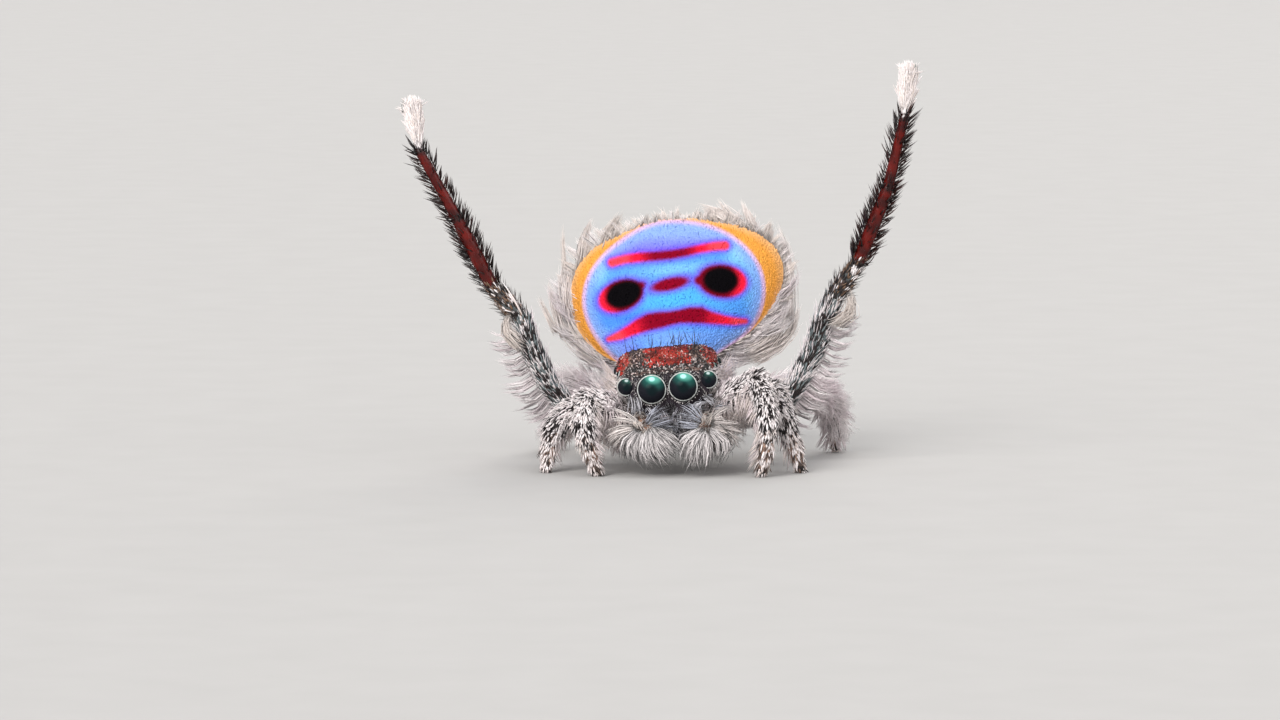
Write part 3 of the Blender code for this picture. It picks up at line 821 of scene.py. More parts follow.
def lens_material(name, green_and_painted_reflection, painted_glint):
    """A dark glossy lens that turns green towards its upper front, by the way its surface faces. The green is
    partly its own colour and partly a painted reflection of light from above. A small bright painted
    highlight sits at its upper front."""
    made, tree, shader = new_material(name)
    place = add(tree, "ShaderNodeTexCoord")
    colour = None
    # Each layer: the way it faces, where its edge starts and ends, and its colour.
    # The first layer is the lens's own green mixed with painted reflection, the third a broad painted
    # highlight and the last a small painted highlight. The second is the lens's dark middle.
    layers = (
        ((0.18, -0.5, 0.85), 0.35, 0.88, (0.015, 0.016 + 0.058 * green_and_painted_reflection, 0.018 + 0.046 * green_and_painted_reflection)),
        ((0.0, -1.0, 0.0), 0.86, 1.0, (0.006, 0.013, 0.015)),
        ((0.12, -0.5, 0.86), 0.77, 0.98, (0.09 * green_and_painted_reflection, 0.34 * green_and_painted_reflection, 0.27 * green_and_painted_reflection)),
        ((0.0, -0.66, 0.75), 0.965, 0.998, painted_glint),
    )
    for way, start, end, tone in layers:
        facing = add(tree, "ShaderNodeVectorMath", operation="DOT_PRODUCT")
        facing.inputs[1].default_value = Vector(way).normalized()
        tree.links.new(place.outputs["Normal"], facing.inputs[0])
        blend = add(tree, "ShaderNodeMix", data_type="RGBA")
        share = value_range(tree, facing.outputs["Value"], 0.0, 1.0, start, end, "SMOOTHSTEP")
        tree.links.new(share, blend.inputs["Factor"])
        blend.inputs[6].default_value = LENS_DARK
        if colour is not None:
            tree.links.new(colour, blend.inputs[6])
        blend.inputs[7].default_value = (*tone, 1.0)
        colour = blend.outputs[2]
    tree.links.new(colour, shader.inputs["Base Color"])
    cloud = add(tree, "ShaderNodeTexNoise", Scale=9000.0)
    tree.links.new(place.outputs["Object"], cloud.inputs["Vector"])
    tree.links.new(value_range(tree, cloud.outputs["Fac"], 0.08, 0.2), shader.inputs["Roughness"])
    shader.inputs["Specular IOR Level"].default_value = 0.03
    return made


def finished(name, mesh, material):
    """A piece made of a mesh that is already in metres: placed, smooth, and riding on the body."""
    made = placed(name, mesh)
    mesh.materials.append(material)
    mesh.shade_smooth()
    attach(made, "root")
    return made


# Strands: every hair, bristle and scale of the coat

class Coat:
    """Gathers strands of one kind, and makes them one mesh of small closed shapes. A strand's line
    is root + t * run + t * t * bend, for t from 0 to 1."""

    def __init__(self, skin, stations, widths, sides, flat=1.0):
        self.skin = skin
        self.stations = np.array(stations)
        self.widths = np.array(widths)
        self.sides = sides
        self.flat = flat
        self.batches = []

    def cover(self, mask, density, length, width, lift, colour, weight=None, **more):
        """Grows strands where mask holds. Each size is one number or a range. The colour is one
        colour, what tones takes, or a function of the picked faces."""
        faces = some(mask, density, weight)
        count = len(faces)
        if callable(colour):
            colour = colour(faces)
        sizes = [spread(count, *size) if isinstance(size, tuple) else size for size in (length, width, lift)]
        if isinstance(colour, tuple):
            colour = tones(count, *colour)
        self.grow(faces, *sizes, colour, **more)

    def grow(self, faces, length, width, lift, colour, stray=0.25, curl=None, lean=None, tuft=0):
        """Adds a strand at each of these skin faces. lift is the angle off the skin in radians, curl a
        bend added towards the tip in shares of the length, lean a direction in place of the lie, and
        tuft how many strands draw together at their tips."""
        skin = self.skin
        count = len(faces)
        if count == 0:
            return
        normal = skin.normals[faces]
        lie = level(skin.face_lie[faces] if lean is None else np.broadcast_to(lean, (count, 3)), normal)
        lie = level(unit(lie + stray * rng.normal(size=(count, 3))), normal)
        lift = np.broadcast_to(lift, (count,))[:, None]
        length = np.broadcast_to(length, (count,))[:, None]
        run = length * unit(lie * np.cos(lift) + normal * np.sin(lift))
        bend = np.zeros((count, 3)) if curl is None else length * curl
        roots = skin.centres[faces] + 0.5 * VOXEL * rng.uniform(-1, 1, (count, 3)) - ROOT_DEPTH * normal
        colour = np.broadcast_to(colour, (count, 3))
        # The tips of a tuft draw near the tip of the strand that leads it, and take on its colour.
        if tuft and count > 2 * tuft:
            leaders = rng.choice(count, count // tuft, replace=False)
            tree = tree_of(roots[leaders])
            mine = leaders[[tree.find(root)[1] for root in roots]]
            tips = roots + run + bend
            bend = bend + 0.7 * (tips[mine] - tips)
            colour = 0.4 * colour + 0.6 * colour[mine]
        self.add(roots, run, bend, width, colour, None, normal, faces)

    def lock(self, root, control, tip, count, root_spread, tip_spread, width, colour, dark):
        """Adds a lock: strands that start round a root, bow round a control place and end round a tip.
        Some of them are dark, as painted shade between the strands."""
        root, control, tip = (np.asarray(place, float) for place in (root, control, tip))
        jitter = rng.normal(size=(count, 3))
        roots = root + root_spread * jitter
        bows = control + (root_spread + tip_spread) * 0.8 * (0.7 * jitter + 0.5 * rng.normal(size=(count, 3)))
        tips = tip + tip_spread * rng.normal(size=(count, 3))
        tips = roots + (tips - roots) * rng.uniform(0.78, 1.03, (count, 1))
        shade = dimness(count, 0.84)
        # Strands deep in the lock lie in the shade of the others.
        shade = shade * (1.0 - 2.0 * dark * ramp(jitter[:, 1:2], -0.2, 1.2))
        # Painted shade: the dark share of the strands is drawn at a quarter of their brightness, for the
        # shadowed gaps in the lock.
        shade = np.where(rng.uniform(size=(count, 1)) < dark, 0.25, shade)
        colour = np.broadcast_to(colour, (count, 3)) * shade
        normal = np.tile(FAN_FORWARD, (count, 1))
        self.add(roots, 2 * (bows - roots), roots - 2 * bows + tips, width, colour * 0.9, colour, normal)

    def add(self, roots, run, bend, width, colour, tip=None, normal=None, faces=None):
        """Adds strands with these roots, runs and bends. tip is the colour at the tip, where it differs."""
        count = len(roots)
        width = np.broadcast_to(width, (count,))
        colour = np.broadcast_to(colour, (count, 3))
        tip = colour if tip is None else np.broadcast_to(tip, (count, 3))
        faces = self.skin.nearest(roots) if faces is None else faces
        normal = self.skin.normals[faces] if normal is None else normal
        self.batches.append((roots, run, bend, width, colour, tip, normal, faces))

    def finish(self, name, material, slot, paint=None):
        """Makes the mesh. paint gives a colour for each place of the drawing, which the strands' own
        colours then vary."""
        roots, run, bend, width, colour, tip, normal, faces = (
            np.concatenate([batch[i] for batch in self.batches]) for i in range(8))
        count, rings, sides = len(roots), len(self.stations), self.sides
        t = self.stations[None, :, None]
        spine = roots[:, None] + t * run[:, None] + t * t * bend[:, None]
        ahead = unit(run[:, None] + 2 * t * bend[:, None])
        side = unit(np.cross(ahead, normal[:, None] + 1e-4))
        up = np.cross(side, ahead)
        angles = circle(sides)
        half = (width[:, None] * self.widths[None, :] / 2)[:, :, None, None]
        rim = np.cos(angles)[None, None, :, None] * side[:, :, None]
        rim = rim + self.flat * np.sin(angles)[None, None, :, None] * up[:, :, None]
        rings_at = (spine[:, :, None] + half * rim).reshape(count, rings * sides, 3)
        points = np.concatenate((roots[:, None], rings_at, (roots + run + bend)[:, None]), axis=1)
        # Nothing passes through the floor.
        points[:, :, 2] = np.maximum(points[:, :, 2], COAT_HEIGHT)
        triangles, uvs = self.template()
        corners = (triangles[None] + points.shape[1] * np.arange(count)[:, None, None]).reshape(-1, 3)
        shade = np.concatenate(((0.0,), np.repeat(self.stations, sides), (1.0,)))[None, :, None]
        colours = colour[:, None] * (1 - shade) + tip[:, None] * shade
        if paint is not None:
            colours = colours * paint(points.reshape(-1, 3)).reshape(points.shape)
        maps = (self.atlas(faces)[:, None, None] + PATCH * (uvs[None] - 0.5)).reshape(-1, 2)
        mesh = array_mesh(name, points.reshape(-1, 3), corners, maps, colours.reshape(-1, 3))
        return finished(name, mesh, material)

    def template(self):
        """One strand's triangles, and each corner's place in its patch of the map."""
        rings, sides = len(self.stations), self.sides
        levels = np.arange(rings + 2) / (rings + 1.0)
        faces, uvs = [], []
        for k in range(sides):
            after = 1 + (k + 1) % sides
            left, right = k / sides, (k + 1) / sides
            middle = (left + right) / 2
            faces.append((0, after, 1 + k))
            uvs.append(((middle, levels[0]), (right, levels[1]), (left, levels[1])))
            for i in range(rings - 1):
                a, b = 1 + i * sides + k, i * sides + after
                c, d = a + sides, b + sides
                low, high = levels[i + 1], levels[i + 2]
                faces += [(a, b, d), (a, d, c)]
                uvs.append(((left, low), (right, low), (right, high)))
                uvs.append(((left, low), (right, high), (left, high)))
            top = (rings - 1) * sides
            faces.append((top + 1 + k, top + after, rings * sides + 1))
            uvs.append(((left, levels[-2]), (right, levels[-2]), (middle, levels[-1])))
        return np.array(faces), np.array(uvs)

    def atlas(self, faces):
        """Where each root lies on an unwrap of the skin: one tile for each piece of it, along by around."""
        skin = self.skin
        owners = skin.owner[faces]
        used = np.unique(owners)
        tiles = math.ceil(math.sqrt(len(used)))
        tile = np.searchsorted(used, owners)
        jitter = rng.uniform(-0.01, 0.01, (len(faces), 2))
        a = 0.05 + 0.9 * skin.face_along[faces] + jitter[:, 0]
        b = 0.05 + 0.9 * skin.face_around[faces] + jitter[:, 1]
        return np.column_stack(((tile % tiles + a) / tiles, (tile // tiles + b) / tiles))


def array_mesh(name, points, corners, maps, colours):
    """A mesh of triangles, with its map and its colours."""
    mesh = bpy.data.meshes.new(name)
    mesh.vertices.add(len(points))
    set_points(mesh, points)
    mesh.loops.add(corners.size)
    mesh.loops.foreach_set("vertex_index", corners.astype(np.int32).ravel())
    mesh.polygons.add(len(corners))
    mesh.polygons.foreach_set("loop_start", np.arange(0, corners.size, 3, dtype=np.int32))
    layer = mesh.uv_layers.new(name="OFBake")
    layer.data.foreach_set("uv", maps.astype(np.float32).ravel())
    set_tint(mesh, np.column_stack((colours, np.ones(len(colours)))))
    mesh.update()
    mesh.validate()
    return mesh


def scale_coat(skin):
    return Coat(skin, (0.35, 0.7), (1.0, 0.85), 4, 0.3)


def hair_coat(skin):
    return Coat(skin, (0.3, 0.65), (1.0, 0.7), 3)


def long_coat(skin):
    return Coat(skin, (0.15, 0.45, 0.75), (0.9, 1.0, 0.6), 3)


def some(mask, density, weight=None):
    """Picks skin faces where mask holds: about density strands for each square millimetre."""
    faces = np.flatnonzero(mask)
    wanted = np.full(len(faces), density * VOXEL * VOXEL * THINNING)
    if weight is not None:
        wanted = wanted * weight[faces]
    return np.repeat(faces, (wanted + rng.uniform(size=len(faces))).astype(int))


def spread(count, low, high):
    return rng.uniform(low, high, count)


def chance(count, share):
    """Which of count strands are picked, where share of them are on average."""
    return rng.uniform(size=count) < share


def dimness(count, low):
    """How bright each of count strands is, from low to 1."""
    return rng.uniform(low, 1.0, (count, 1))


def tones(count, a, b, power=1.0, dim=0.8):
    """A colour for each of count strands between a and b, some of them a little dimmer."""
    return mix(a, b, rng.uniform(size=count) ** power) * dimness(count, dim)


def patchy(skin, a, b, size, seed, dim):
    """A function that colours faces between a and b in soft patches."""
    return lambda faces: mix(a, b, noise(skin.centres[faces], size, seed)) * dimness(len(faces), dim)


# Stage

TARGET = (-0.382, 0.0, 1.583)
DISTANCE = 90.0
ELEVATION = math.radians(5.0)
FRAME_WIDTH = 1280 / 72.0
SENSOR = 36.0
FLOOR_FLAT = 260.0
FLOOR_CURVE = 160.0
FLOOR_SIDES = 96
PAPER_DARK = (0.42, 0.408, 0.396, 1.0)
PAPER_LIGHT = (0.46, 0.448, 0.436, 1.0)
ROOM_COLOUR = (0.92, 0.95, 1.0, 1.0)
ROOM_STRENGTH = 0.5
# Each light: where it comes from, its strength, how soft it is in degrees, and its colour.
LIGHTS = {
    "key": ((-0.4, -0.78, 0.5), 3.3, 40.0, (1.0, 0.985, 0.965)),
    "fill": ((0.8, -0.6, 0.25), 1.1, 60.0, (1.0, 0.99, 0.98)),
    "top": ((0.05, 0.1, 1.0), 0.8, 60.0, (1.0, 0.99, 0.98)),
    "back": ((0.3, 0.85, 0.5), 1.2, 40.0, (1.0, 0.97, 0.93)),
}


def make_camera():
    data = bpy.data.cameras.new("camera")
    made = placed("camera", data)
    back = np.array((0.0, -math.cos(ELEVATION), math.sin(ELEVATION)))
    made.location = to_metres(np.array(TARGET) + DISTANCE * back)
    made.rotation_euler = (math.pi / 2 - ELEVATION, 0.0, 0.0)
    data.sensor_width = SENSOR
    data.lens = SENSOR * DISTANCE / FRAME_WIDTH
    data.clip_start = 0.001
    data.clip_end = 10.0
    bpy.context.scene.camera = made


def sun(name, away, strength, softness, colour):
    """A soft distant light that comes from the direction away."""
    data = bpy.data.lights.new(name, "SUN")
    data.energy = strength
    data.angle = math.radians(softness)
    data.color = colour
    placed(name, data).rotation_euler = Vector(away).to_track_quat("Z", "Y").to_euler()


def make_stage():
    made, tree, shader = new_material("floor_paper")
    grain = grained(tree, 900.0, Detail=4.0)
    paper = add(tree, "ShaderNodeMix", data_type="RGBA")
    tree.links.new(grain, paper.inputs["Factor"])
    paper.inputs[6].default_value = PAPER_DARK
    paper.inputs[7].default_value = PAPER_LIGHT
    tree.links.new(paper.outputs[2], shader.inputs["Base Color"])
    shader.inputs["Roughness"].default_value = 0.9

    # A flat round floor that curves up a little all round, far from the spider.
    turns = [math.radians(3.0 * i) for i in range(17)]
    points = []
    for turn in turns:
        reach = FLOOR_FLAT + FLOOR_CURVE * math.sin(turn)
        z = FLOOR_CURVE * (1 - math.cos(turn))
        points += [to_metres((reach * math.cos(a), reach * math.sin(a), z)) for a in circle(FLOOR_SIDES)]
    faces = [(p, s, r, q) for p, q, r, s in quads(len(turns), FLOOR_SIDES)]
    faces.append(tuple(range(FLOOR_SIDES)))
    sweep = placed("floor", mesh_of("floor", points, faces))
    sweep.data.materials.append(made)
    sweep.data.shade_smooth()

    world = bpy.data.worlds.new("soft_room")
    world.use_nodes = True
    room = world.node_tree.nodes["Background"]
    room.inputs["Color"].default_value = ROOM_COLOUR
    room.inputs["Strength"].default_value = ROOM_STRENGTH
    bpy.context.scene.world = world
    bpy.context.scene.view_settings.view_transform = "Standard"
    for name, light in LIGHTS.items():
        sun(name, *light)


# Eyes

# Each eye: its centre in the head, its radius, its rim's radius and the way it looks.
EYES = {
    "eye_front_middle": (FRONT_EYE, 0.205, 0.193, (0.0, -1.0, 0.02)),
    "eye_front_side": ((0.57, 0.07, 0.055), 0.125, 0.117, (0.15, -0.98, 0.05)),
    "eye_back_middle": ((0.66, 0.52, 0.19), 0.05, 0.046, (0.9, -0.1, 0.4)),
    "eye_back_side": ((0.65, 0.92, 0.2), 0.11, 0.1, (0.9, 0.15, 0.35)),
}


def eye_places():
    """Every eye: its kind, side, centre, radius, rim radius and look, in the drawing."""
    for kind, (place, radius, rim, look) in EYES.items():
        for side, sign in SIDES:
            flip = np.array((sign, 1.0, 1.0))
            gaze = unit(HEAD[:3, :3] @ (np.array(look) * flip))
            yield kind, side, in_head(np.array(place) * flip), radius, rim, gaze


def ring_points(centre, look, large, small, sides=64, around=12):
    """The points of a ring round an eye, and its faces."""
    side, up = square_to(look, (0.0, 0.0, 1.0))
    a, b = circle(sides)[:, None, None], circle(around)[None, :, None]
    out = np.cos(a) * side + np.sin(a) * up
    points = centre + (large + small * np.cos(b)) * out + small * np.sin(b) * look
    return points.reshape(-1, 3), quads(sides, around, True)


def closed_mesh(name, points, faces):
    """A closed mesh in metres, with its faces turned out."""
    mesh = mesh_of(name, points, faces)
    turned_out(mesh)
    set_points(mesh, points)
    mesh.update()
    return mesh


def make_eyes():
    # Both lenses have painted reflection and painted highlights in their colour. The front ones have much
    # more of the green, which is partly painted reflection.
    bright = lens_material("front_lens_finish", 1.0, (0.42, 0.8, 0.76))
    dark = lens_material("side_lens_finish", 0.25, (0.42, 0.5, 0.5))
    rims = []
    for kind, side, centre, radius, rim, look in eye_places():
        name = f"{kind}_{side}"
        ball = egg(kind, centre, (radius, radius, radius), np.eye(3), (0.0, 0.0, 1.0), 40, 64)
        mesh = closed_mesh(f"{name}_lens", ball.points, ball.faces)
        lens = finished(f"{name}_lens", mesh, bright if kind == "eye_front_middle" else dark)
        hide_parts(name)
        small = 0.007 + 0.018 * radius
        depth = math.sqrt(radius ** 2 - rim ** 2)
        rims.append(ring_points(centre + (depth + 0.1 * small) * look, look, rim, small))
    pale = plain_material("eye_rim", (0.6, 0.62, 0.6), 0.35)
    finished("eye_rims", closed_mesh("eye_rims", *joined(rims)), pale)


# The coat, region by region

def salt_and_pepper(points, white, size=0.035):
    """Scale by scale, white or dark, gathered into small patches."""
    value = noise(points, size, 11) * 0.56 + rng.uniform(size=len(points)) * 0.44
    return choose(value < white, WHITE_HAIR, DARK_HAIR) * dimness(len(points), 0.88)


# How many scales each article of a walking leg has in a square millimetre, and how white they are.
WALKING_SCALES = {"femur": (1000, 0.68), "patella": (1250, 0.61), "tibia": (1150, 0.61),
                  "metatarsus": (700, 0.68), "_tarsus": (330, 0.68)}


def walking_colour(skin, faces, article, white):
    """White and dark scales, brown near the foot, with dark rings in the middle of the leg."""
    along = skin.face_along[faces]
    colour = salt_and_pepper(skin.centres[faces], white, 0.02)
    if article in ("metatarsus", "_tarsus"):
        colour = mix(colour, TAN, 0.3 * rng.uniform(size=len(faces)))
    ring = 0.35 * bump(along, 0.9, 0.1) * (article in ("patella", "tibia"))
    ring = ring + 0.35 * bump(along, 0.45, 0.1) * (article == "tibia")
    return choose(chance(len(faces), 0.85 * ring), BLACK_HAIR, colour)


def walking_legs(skin):
    coat, hair = scale_coat(skin), hair_coat(skin)
    inward = -np.sign(skin.centres[:, 0]) * skin.normals[:, 0]
    for leg in ("leg_1", "leg_2"):
        limb = skin.of(leg)
        for article, (density, white) in WALKING_SCALES.items():
            weight = ramp(skin.face_along, 0.35, 0.6) if article == "femur" else None
            coat.cover(limb & skin.named(article), density, (0.1, 0.17), (0.022, 0.034), (0.18, 0.45),
                       lambda faces: walking_colour(skin, faces, article, white), weight, stray=0.2)
        outer = limb & skin.named("patella", "tibia", "metatarsus", "femur") & (inward < 0.4)
        hair.cover(outer, 60, (0.1, 0.22), 0.012, (0.35, 0.8), (CREAM_HAIR, WHITE_HAIR), stray=0.3, tuft=3)
        # Near the body the femur is soft and pale.
        near_body = limb & skin.named("femur", "coxa")
        hair.cover(near_body, 620, (0.12, 0.24), 0.014, (0.2, 0.55), (LILAC_HAIR, GREY_HAIR, 1.5),
                   1.0 - ramp(skin.face_along, 0.5, 0.75), tuft=5)
        # Long pale hair hangs under the femur, between the leg and the face.
        hair.cover(near_body & (skin.normals[:, 2] < 0.1), 500, (0.26, 0.5), 0.013, (0.4, 0.8),
                   (LILAC_HAIR, CREAM_HAIR), lean=(0.0, -0.3, -1.0), tuft=7)
        inner = limb & skin.named("patella", "tibia", "metatarsus") & (inward > 0.5)
        hair.cover(inner & (skin.normals[:, 1] > -0.5), 520 if leg == "leg_1" else 260, (0.18, 0.34), 0.012,
                   (0.4, 0.8), (LILAC_HAIR, CREAM_HAIR), stray=0.2, lean=(0.0, -0.2, -1.0), tuft=6)
        hair.cover(limb & skin.named("metatarsus", "_tarsus"), 110, (0.06, 0.14), 0.011, (0.2, 0.5),
                   ROSY_HAIR, stray=0.2)
    coat.finish("walking_leg_scales", SCALE_MATERIAL, "leg_scales")
    hair.finish("walking_leg_hair", HAIR_MATERIAL, "leg_scales")

    # The hind legs are shaggy down to the foot.
    coat = hair_coat(skin)
    hind, foot = skin.of("leg_4"), skin.named("_tarsus")
    coat.cover(hind & ~foot, 800, (0.2, 0.42), 0.014, (0.35, 0.8),
               patchy(skin, LILAC_HAIR, WHITE_HAIR, 0.12, 4, 0.86), stray=0.3, tuft=9)
    coat.cover(hind & foot, 300, (0.05, 0.1), 0.012, 0.35, ROSY_HAIR, stray=0.3)
    coat.finish("hind_leg_hair", HAIR_MATERIAL, "leg_scales")


# A pale tuft bulges outside each raised knee: its root, bow and tip.
KNEE_TUFTS = (
    ((2.28, 0.8, 2.02), (2.7, 0.78, 2.12), (2.55, 0.75, 2.5)),
    ((-2.02, 0.55, 1.72), (-2.42, 0.52, 1.92), (-2.2, 0.5, 2.22)),
)
# A bright white spot marks the end of one patella: its root, bow and tip.
KNEE_SPOT = ((2.59, 0.7, 2.74), (2.6, 0.66, 2.79), (2.62, 0.68, 2.85))
# A long pale spine crosses the bend of one raised knee: its root, tip and bend.
KNEE_SPINE = ((-2.0, 0.49, 2.11), (-2.31, 0.45, 2.65), (-0.04, 0.0, -0.05))


def femur_colour(skin, faces):
    """Dark, teal and white scales in small patches."""
    shade = noise(skin.centres[faces], 0.05, 21) * 0.5 + rng.uniform(size=len(faces)) * 0.5
    return choose(shade < 0.42, DARK_HAIR, choose(shade < 0.6, TEAL_GREY, WHITE_HAIR * 0.85))


def knee_colour(skin, faces):
    colour = salt_and_pepper(skin.centres[faces], 0.42)
    return choose(chance(len(faces), 0.35), KNEE_BROWN, colour)


def femur_lashes(fringe, leg, sign):
    """Lashes that stand out from a raised femur's outer side in separate curved bundles."""
    line, share = smooth_line(femur_places(leg))
    for t in np.arange(0.34, 0.985, 0.027):
        place, ahead = (np.array([np.interp(at, share, row) for row in line.T]) for at in (t, t + 0.02))
        ahead = unit(ahead - place)
        out = unit(np.cross((0.0, 1.0, 0.0), ahead))
        out = out * (sign * np.sign(out[0]))
        for row in (-0.03, 0.12):
            length = rng.uniform(0.4, 0.52) * (0.72 + 0.28 * math.sin(math.pi * min(t, 0.85)))
            root = place + 0.1 * out + (0.0, row, 0.0) + 0.012 * rng.normal(size=3)
            tip = root + length * out + (0.0, row * 0.8, 0.0) + 0.04 * rng.normal(size=3) + 0.06 * ahead
            control = root + 0.55 * length * out - 0.1 * ahead + (0.0, row * 0.4, -0.03)
            fringe.lock(root, control, tip, int(7 * THINNING) + 2, 0.014, 0.009, 0.013,
                        tones(1, LILAC_HAIR, WHITE_HAIR)[0], 0.1)


def raised_legs(skin):
    scales, bristle = scale_coat(skin), hair_coat(skin)
    fringe, brush = long_coat(skin), Coat(skin, (0.25, 0.6, 0.85), (1.0, 0.9, 0.6), 3)
    for side, sign in SIDES:
        leg = f"leg_3_{side}"
        joints = np.array(LEG_JOINTS[leg])
        femur = skin.of(f"{leg}_femur", f"{leg}_coxa")
        scales.cover(femur, 1100, (0.1, 0.19), (0.018, 0.028), 0.2, lambda faces: femur_colour(skin, faces),
                     stray=0.12)
        fringe.cover(femur, 110, (0.14, 0.26), 0.012, (0.25, 0.6), (LILAC_HAIR, WHITE_HAIR), stray=0.15)
        femur_lashes(fringe, leg, sign)

        knee = skin.of(f"{leg}_patella")
        scales.cover(knee, 700, (0.08, 0.15), (0.02, 0.03), 0.28, lambda faces: knee_colour(skin, faces),
                     stray=0.2)
        bristle.cover(knee, 150, (0.12, 0.24), 0.013, (0.4, 0.9), (BLACK_HAIR, GREY_HAIR, 3.0))

        # The bristles stand out to the two sides, and the front stays bare and glossy.
        weight = 0.1 + 1.0 * ramp(np.abs(skin.normals[:, 0]), 0.55, 0.9)
        for article in ("tibia", "metatarsus"):
            shaft = skin.of(f"{leg}_{article}")
            bristle.cover(shaft, 420, (0.15, 0.27), (0.014, 0.022), (0.55, 0.95),
                          (BLACK_HAIR, BRISTLE_BROWN, 2.0), weight, stray=0.12,
                          curl=0.15 * unit(joints[4] - joints[2]), tuft=2)
            bristle.cover(shaft, 90, (0.06, 0.12), 0.011, 0.3, (RED_BROWN, BLACK_HAIR))
            ends = shaft & (np.minimum(skin.face_along, 1.0 - skin.face_along) < 0.05)
            bristle.cover(ends, 500, (0.06, 0.12), 0.018, 0.5, BLACK_HAIR)

        faces = some(skin.of(f"{leg}_tarsus"), 4200)
        count = len(faces)
        swell = ramp(skin.face_along[faces], 0.0, 0.5)
        brush.grow(faces, spread(count, 0.2, 0.29), spread(count, 0.014, 0.02), 0.12 + 0.1 * swell,
                   tones(count, WHITE_HAIR, CREAM_HAIR, 2.0, 0.9), stray=0.06)
        # Grey hair tips the outer corner of the brush.
        corner = joints[5] + (0.08 * sign, 0.0, -0.14)
        for place in corner + rng.normal(size=(5, 3)) * 0.025:
            brush.lock(place - (0.02 * sign, 0.0, 0.08), place, place + (0.0, 0.0, 0.11),
                       int(9 * THINNING) + 1, 0.02, 0.015, 0.014, BRUSH_GREY, 0.15)
    for places in KNEE_TUFTS:
        fringe.lock(*places, int(90 * THINNING), 0.05, 0.03, 0.015, CREAM_HAIR * 0.85, 0.1)
    fringe.lock(*KNEE_SPOT, 40, 0.018, 0.02, 0.02, WHITE_HAIR, 0.0)
    root, tip, bend = np.array(KNEE_SPINE)
    fringe.add(root[None], (tip - root - bend)[None], bend[None], 0.035, ROSY_HAIR, WHITE_HAIR)
    scales.finish("raised_leg_scales", SCALE_MATERIAL, "leg_scales")
    fringe.finish("raised_leg_fringe", HAIR_MATERIAL, "leg_scales")
    bristle.finish("raised_leg_bristles", BRISTLE_MATERIAL, "raised_leg")
    brush.finish("raised_leg_brush", HAIR_MATERIAL, "raised_leg")


def fan_scales(skin):
    coat = Coat(skin, (0.45,), (1.0,), 4, 0.06)
    u, v, w = fan_coordinates(skin.centres)
    front = skin.of("fan") & (w > 0.03) & (skin.normals @ FAN_FORWARD > 0.2)
    front &= np.hypot(u, v) < 0.975 * fan_edge(np.arctan2(v, u))
    faces = some(front, 3400)
    count = len(faces)
    u = u[faces] + VOXEL * spread(count, -0.5, 0.5)
    v = v[faces] + VOXEL * spread(count, -0.5, 0.5)
    shade = rng.uniform(0.93, 1.05, (count, 1)) * np.ones(3)
    turn = 0.12 * rng.normal(size=count)
    run = np.sin(turn)[:, None] * FAN_RIGHT + np.cos(turn)[:, None] * FAN_UP
    # Each scale follows the dome under it, and its tip stands a little off it.
    rise = 0.05 - 2 * FAN_DOME * v / fan_edge(np.arctan2(v, u)) ** 2 - 2 * FAN_SWEEP * u * np.sin(turn)
    run = spread(count, 0.045, 0.06)[:, None] * (run + rise[:, None] * FAN_FORWARD)
    normal = unit(FAN_FORWARD + 2 * FAN_SWEEP * u[:, None] * FAN_RIGHT)
    coat.add(fan_point(u, v, fan_front(u, v)), run, np.zeros((count, 3)), spread(count, 0.036, 0.046), shade,
             None, normal, faces)
    coat.finish("fan_scales", FAN_MATERIAL, "fan_scales",
                lambda points: fan_colour(*fan_coordinates(points)[:2]))


# Locks of the fringe, in hundredths of a millimetre: root, bow and tip as right and up in the
# picture, then the width, and how bright the lock is.
FAN_LOCKS = (
    (-120, 280, -123, 311, -106, 341, 6, 0.8),
    (-133, 226, -152, 280, -147, 331, 3, 0.6),
    (-132, 200, -150, 237, -147, 283, 9, 1.0),
    (-135, 212, -143, 240, -138, 274, 7, 1.0),
    (-145, 169, -157, 204, -163, 243, 5, 1.0),
    (-149, 176, -163, 212, -167, 251, 4, 0.9),
    (-157, 176, -169, 200, -183, 229, 4, 0.7),
    (-86, 303, -84, 328, -64, 348, 7, 0.6),
    (-109, 162, -135, 190, -149, 226, 7, 0.8),
    (-95, 145, -131, 169, -152, 200, 7, 0.8),
    (-87, 138, -123, 152, -157, 183, 8, 0.8),
    (115, 324, 87, 351, 44, 362, 6, 0.8),
    (106, 331, 89, 348, 71, 369, 5, 0.8),
    (97, 331, 72, 348, 50, 354, 6, 0.8),
    (128, 323, 118, 337, 105, 369, 5, 0.9),
    (132, 314, 121, 331, 115, 357, 4, 0.8),
    (155, 271, 141, 311, 150, 334, 5, 0.8),
    (173, 183, 185, 280, 156, 334, 5, 1.0),
    (171, 197, 179, 280, 162, 323, 5, 1.0),
    (168, 212, 175, 269, 169, 311, 5, 1.0),
    (146, 162, 169, 190, 172, 226, 6, 0.8),
    (154, 155, 183, 180, 190, 216, 6, 0.8),
    (139, 169, 158, 200, 161, 232, 6, 0.8),
    (118, 140, 168, 155, 189, 190, 8, 0.8),
    (111, 155, 154, 169, 175, 200, 8, 0.8),
)


